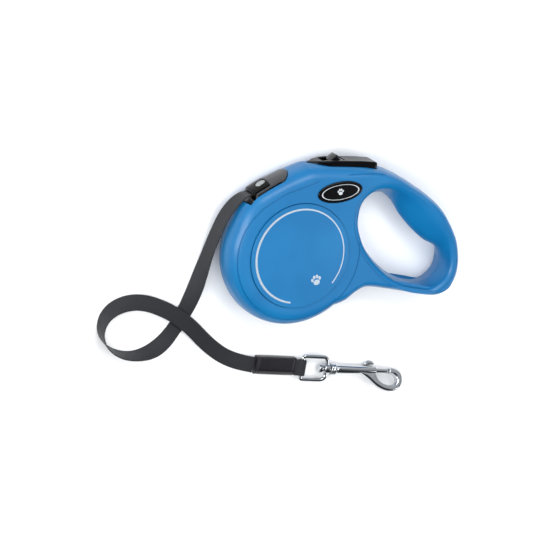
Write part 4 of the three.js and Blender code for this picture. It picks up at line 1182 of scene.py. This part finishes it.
def makeFerrule():
    # rounded sections along x: a slightly crowned sleeve with a band at each end
    look, length, deep = ferrule, ferrule["length"], ferrule["endRound"]
    u = np.concatenate([np.sin(np.linspace(0, 1, 8) * math.pi / 2) * deep, np.linspace(0.8, length - 0.8, 90),
                        length - deep * np.sin(np.linspace(1, 0, 8) * math.pi / 2)])
    end = np.minimum(u, length - u)
    rounding = deep * (1 - np.sqrt(np.clip(1 - (1 - np.minimum(end / deep, 1))**2, 0, 1)))
    dip = look["bandDepth"] * np.exp(-((end - look["band"]) / look["bandWidth"])**2)
    grow = look["crown"] * (np.sin(u / length * math.pi) - 1) - rounding - dip
    section = softRectangle(look["half"] + grow, -look["height"] / 2 - grow, look["height"] / 2 + grow, look["corner"])
    across, up = section[..., 0], section[..., 1]
    slope = np.clip(-look["crease"] - across, 0, None) * look["fall"]
    up = up - np.where(up > 0, look["hollow"] * (across / look["half"])**2 + slope, 0)
    return tubeOf(np.stack([np.broadcast_to(u[:, None], across.shape), across, up], -1))


adopt(pieceOf("strapFerrule", carried(makeFerrule(), ferrulePlace), 50), "tape", "moulded_black_plastic",
      "moulded", "ferrule")
strapLoop = {"radius": 2.15, "sweep": 0.72, "legs": [(-5.2, 0.75), (-3.6, 0.8)], "thickness": 0.75, "width": 9.9}


def makeStrapLoop():
    # webbing doubled round the eye's bar
    turn = np.linspace(strapLoop["sweep"], -strapLoop["sweep"], 26) * math.pi
    bend = np.column_stack([np.cos(turn), np.sin(turn)]) * strapLoop["radius"]
    legs = np.array(strapLoop["legs"])
    line = np.vstack([legs, bend, (legs * [1, -1])[::-1]])
    line = throughPoints(line, 4)
    middle = np.column_stack([line[:, 0], np.zeros(len(line)), line[:, 1]])
    solid, uv, _ = ribbonOn(middle, np.broadcast_to([0.0, 1, 0], middle.shape), {**tape, **strapLoop})
    return pieceOf("strapLoop", carried(solid, eyePlace), 60, uv)


adopt(makeStrapLoop(), "tape", "webbing", "webbing", "strap_eye_loop")
eye = {"wire": 1.3, "length": 17.2, "half": 7.45, "baseRadius": 3.2, "baseHalf": 2, "bore": 1.6}
rivet = {"head": 2.7, "headRear": -5.6, "headFront": -3.2, "shank": 1.3, "front": 3.6}


def stub(radius, low, high):
    # the profile of a plain round bar
    return [(0, low), (radius, low), (radius, high), (0, high)]


def makeEye():
    # a round wire bent to a D, with a drilled boss for the rivet
    n, h, middle = eye["length"], eye["half"], (eye["length"] - 2.5) / 2
    path = bends((1.5, -h), ((middle, -h), (n - 4, -h), 14), ((n + 0.5, -h), (n, 4.5 - h), 14),
                 ((n, 0), (n, h - 4.5), 14), ((n + 0.5, h), (n - 4, h), 14), ((middle, h), (1.5, h), 14),
                 ((0, h), (0, h - 1.5), 8), ((0, 0), (0, 1.5 - h), 14), ((0, -h), (1.5, -h), 8))
    path = evenly(path, 180)
    wire = sweepOf(np.column_stack([path, np.zeros(len(path))]), eye["wire"], 24, closed=True)
    base = lathe(softCorners(stub(eye["baseRadius"], n - eye["baseHalf"], n + eye["baseHalf"]), 0.7, 6), 48, "x")
    bore = lathe(stub(eye["bore"], n - 6, n + 6), 32, "x")
    piece = pieceOf("swivelEyeRing", carried(wire, eyePlace), 50)
    combined(piece, carried(base, eyePlace), "UNION")
    combined(piece, carried(bore, eyePlace))
    return piece


def makeRivet():
    n, head, shank = eye["length"], rivet["head"], rivet["shank"]
    rear, step, front = n + rivet["headRear"], n + rivet["headFront"], n + rivet["front"]
    profile = [(0, rear), (head, rear), (head, step), (shank, step + 0.3), (shank, front), (0, front)]
    return pieceOf("swivelRivetHead", carried(lathe(softCorners(profile, 0.55, 6), 48, "x"), eyePlace), 50)


roll = -0.42
barrelStart = eye["length"] + 2.3
barrelEnd = barrelStart + 32
boltTip, knobRear = barrelEnd + 9.2, barrelEnd - 8
snap = {"barrel": 2.9, "neck": 2.4, "collar": 4.0, "collarDent": 3.5, "bolt": 1.6, "boltHole": 1.9,
        "halfHook": 2.4, "hookRound": 1.5, "slotHalf": 1.2}


def hookRing():
    # the outer edge to the tip, round it, and back along the inner edge to the barrel
    x, tip = barrelEnd, boltTip + 0.3
    ring = bends((x - 13, -1.6), ((x - 8, -3), (x - 3.5, -7), 16), ((x + 2.5, -12.6), (x + 10, -13), 20),
                 ((x + 17, -12.8), (x + 18.6, -6.8), 20), ((x + 19.6, -0.6), (x + 14.5, 1.3), 20),
                 ((x + 12.5, 2), (tip, 1.9), 10), ((tip, 0), (tip, -1.8), 6), ((x + 13.6, -1.4), (x + 14.6, -4.6), 14),
                 ((x + 14.8, -8.8), (x + 9.5, -9), 18), ((x + 4, -8.8), (x + 1.2, -5), 16),
                 ((x + 0.3, -3.4), (x - 0.6, -1.8), 8), ((x - 6.8, -1.0), (x - 13, -1.6), 12))
    return evenly(ring, 260)


def makeSnapBody():
    s, e, collar, neck = barrelStart, barrelEnd, snap["collar"], snap["neck"]
    profile = [(0, s), (collar - 0.4, s), (collar, s + 0.5), (collar, s + 1.3), (snap["collarDent"], s + 1.7),
               (collar, s + 2.1), (collar, s + 3.2), (neck, s + 3.7), (neck, s + 4.6),
               (snap["barrel"], s + 5.2), (snap["barrel"], e), (0, e)]
    barrel = softCorners(profile, 0.35, 5)
    piece = pieceOf("snapBarrelHook", carried(lathe(barrel, 56, "x"), eyePlace, roll), 45)
    hook = plateOf(hookRing(), snap["halfHook"], snap["hookRound"], 2.2, 8, reach=4)
    combined(piece, carried(hook, eyePlace, roll), "UNION", "MANIFOLD")
    for hollow in (lathe(stub(snap["boltHole"], s + 6, e + 1.2), 40, "x"),
                   blockOf(knobRear - 8.6, e + 1, 0, 9, -snap["slotHalf"], snap["slotHalf"]),
                   lathe(stub(eye["bore"], s - 1, s + 1.6), 32, "x")):
        combined(piece, carried(hollow, eyePlace, roll), "DIFFERENCE", "MANIFOLD")
    return piece


def makeBolt():
    rear, radius = barrelStart + 15.5, snap["bolt"]
    rod = softCorners([(0, rear), (radius, rear), (radius, boltTip - 0.2), (0, boltTip + 0.2)], 0.9, 8)
    return pieceOf("snapBoltRod", carried(lathe(rod, 36, "x"), eyePlace, roll), 50)


knob = {"half": 1.9, "rounding": 0.8, "neckHalf": 0.85}


def makeKnob():
    # a thumb knob like a low wave, on a neck that runs in the barrel's slot
    x, r = knobRear, snap["barrel"]
    wave = bends((x, r + 0.35), ((x + 0.6, r + 3.4), (x + 3.8, r + 3.2), 20),
                 ((x + 6.8, r + 2.9), (x + 6.9, r + 0.35), 20))
    wave = evenly(softRing(wave[::-1], 0.1, 3), 90)
    top = plateOf(wave, knob["half"], knob["rounding"], 2.0, 7, reach=2)
    neck = blockOf(x + 0.6, x + 6.2, snap["boltHole"], r + 0.8, -knob["neckHalf"], knob["neckHalf"])
    piece = pieceOf("boltThumbKnob", carried(top, eyePlace, roll), 50)
    combined(piece, carried(neck, eyePlace, roll), "UNION", "MANIFOLD")
    return piece


adopt(makeEye(), "eye", "chrome", "chrome", "swivel_eye")
adopt(makeRivet(), "snap", "chrome", "chrome", "swivel_rivet")
adopt(makeSnapBody(), "snap", "chrome", "chrome", "snap_body")
adopt(makeBolt(), "bolt", "chrome", "chrome", "snap_bolt")
adopt(makeKnob(), "bolt", "chrome", "chrome", "bolt_knob")
print("snap made")


# pieces kept as the frame has them
keptNodes = {"outlet_guide_pin": "steel", "spool_axle": "steel", "axle_screw": "steel", "brake_pivot_pin": "steel",
             "brake_spring": "spring", "brake_pawl": "moulded", "spool": "nylon", "spring_cover": "nylon",
             "mainspring": "spring", "housing_screw_1": "steel", "housing_screw_2": "steel",
             "housing_screw_3": "steel", "bolt_spring": "spring"}
for node, finish in keptNodes.items():
    dress(bpy.data.objects[node], finish)

tapeRun * mm


# light and floor
studio = {"size": 6.0, "floor": "F8F9FA", "patch": "ECEEF0", "rough": 0.85, "sky": "F2F5FA", "overhead": 0.06,
          "side": 1.3, "strength": 0.55, "horizon": (0.05, 0.25), "zenith": (0.82, 0.94), "back": 0.8, "left": 0.45,
          "turnFrom": -0.7, "turnTo": 0.5}


def makeStage(look):
    size = look["size"]
    corners = np.array([[-size, -size, 0], [size, -size, 0], [size, size, 0], [-size, size, 0]])
    floor = newMesh("studioFloor", corners, np.array([[0, 1, 2, 3]]))
    sheet = Sheet("paleFloor")
    coordinate = sheet.node("TexCoord", None, None, out=3)
    soft = grain(sheet, coordinate, 3.0, 2.0)
    sheet.set(Base_Color=sheet.mix(soft * 0.15, look["floor"], look["patch"]), Roughness=soft * 0.1 + look["rough"])
    floor.data.materials.append(sheet.material)
    # the sky is dim overhead and bright behind and to the left, so gloss and plating have a dark side
    sky = Sheet("softSky", sky=True)
    x, y, z = parts(sky, sky.node("TexCoord", None, None, out=0))
    band = z.step(*look["horizon"]) * (1 - z.step(*look["zenith"]))
    level = band * (y * look["back"] - x * look["left"]).step(look["turnFrom"], look["turnTo"])
    sky.feed(sky.surface.inputs["Color"], tinted(look["sky"]))
    sky.feed(sky.surface.inputs["Strength"],
             (level * (look["side"] - look["overhead"]) + look["overhead"]) * look["strength"])
    bpy.context.scene.world = sky.material


lamps = {
    "leftPanel": {"place": (-0.95, 0.00, 0.80), "size": (0.35, 0.9), "power": 8.0},
    "topPanel": {"place": (0.05, 0.85, 1.15), "size": (1.0, 0.40), "power": 7.0},
    "rightPanel": {"place": (1.00, -0.35, 0.80), "size": (0.35, 0.6), "power": 2.5},
    "highPanel": {"place": (0.10, -0.10, 1.30), "size": (1.5, 1.5), "power": 13.0, "glossy": False},
}


def makeLamps(looks):
    for name, look in looks.items():
        light = bpy.data.lights.new(name, "AREA")
        light.shape, light.energy = "RECTANGLE", look["power"]
        light.size, light.size_y = look["size"]
        lamp = bpy.data.objects.new(name, light)
        lamp.location = look["place"]
        lamp.visible_glossy = look.get("glossy", True)
        lamp.rotation_euler = (-Vector(look["place"])).to_track_quat("-Z", "Y").to_euler()
        bpy.context.scene.collection.objects.link(lamp)


makeStage(studio)
makeLamps(lamps)
bpy.context.scene.view_settings.view_transform = "Standard"
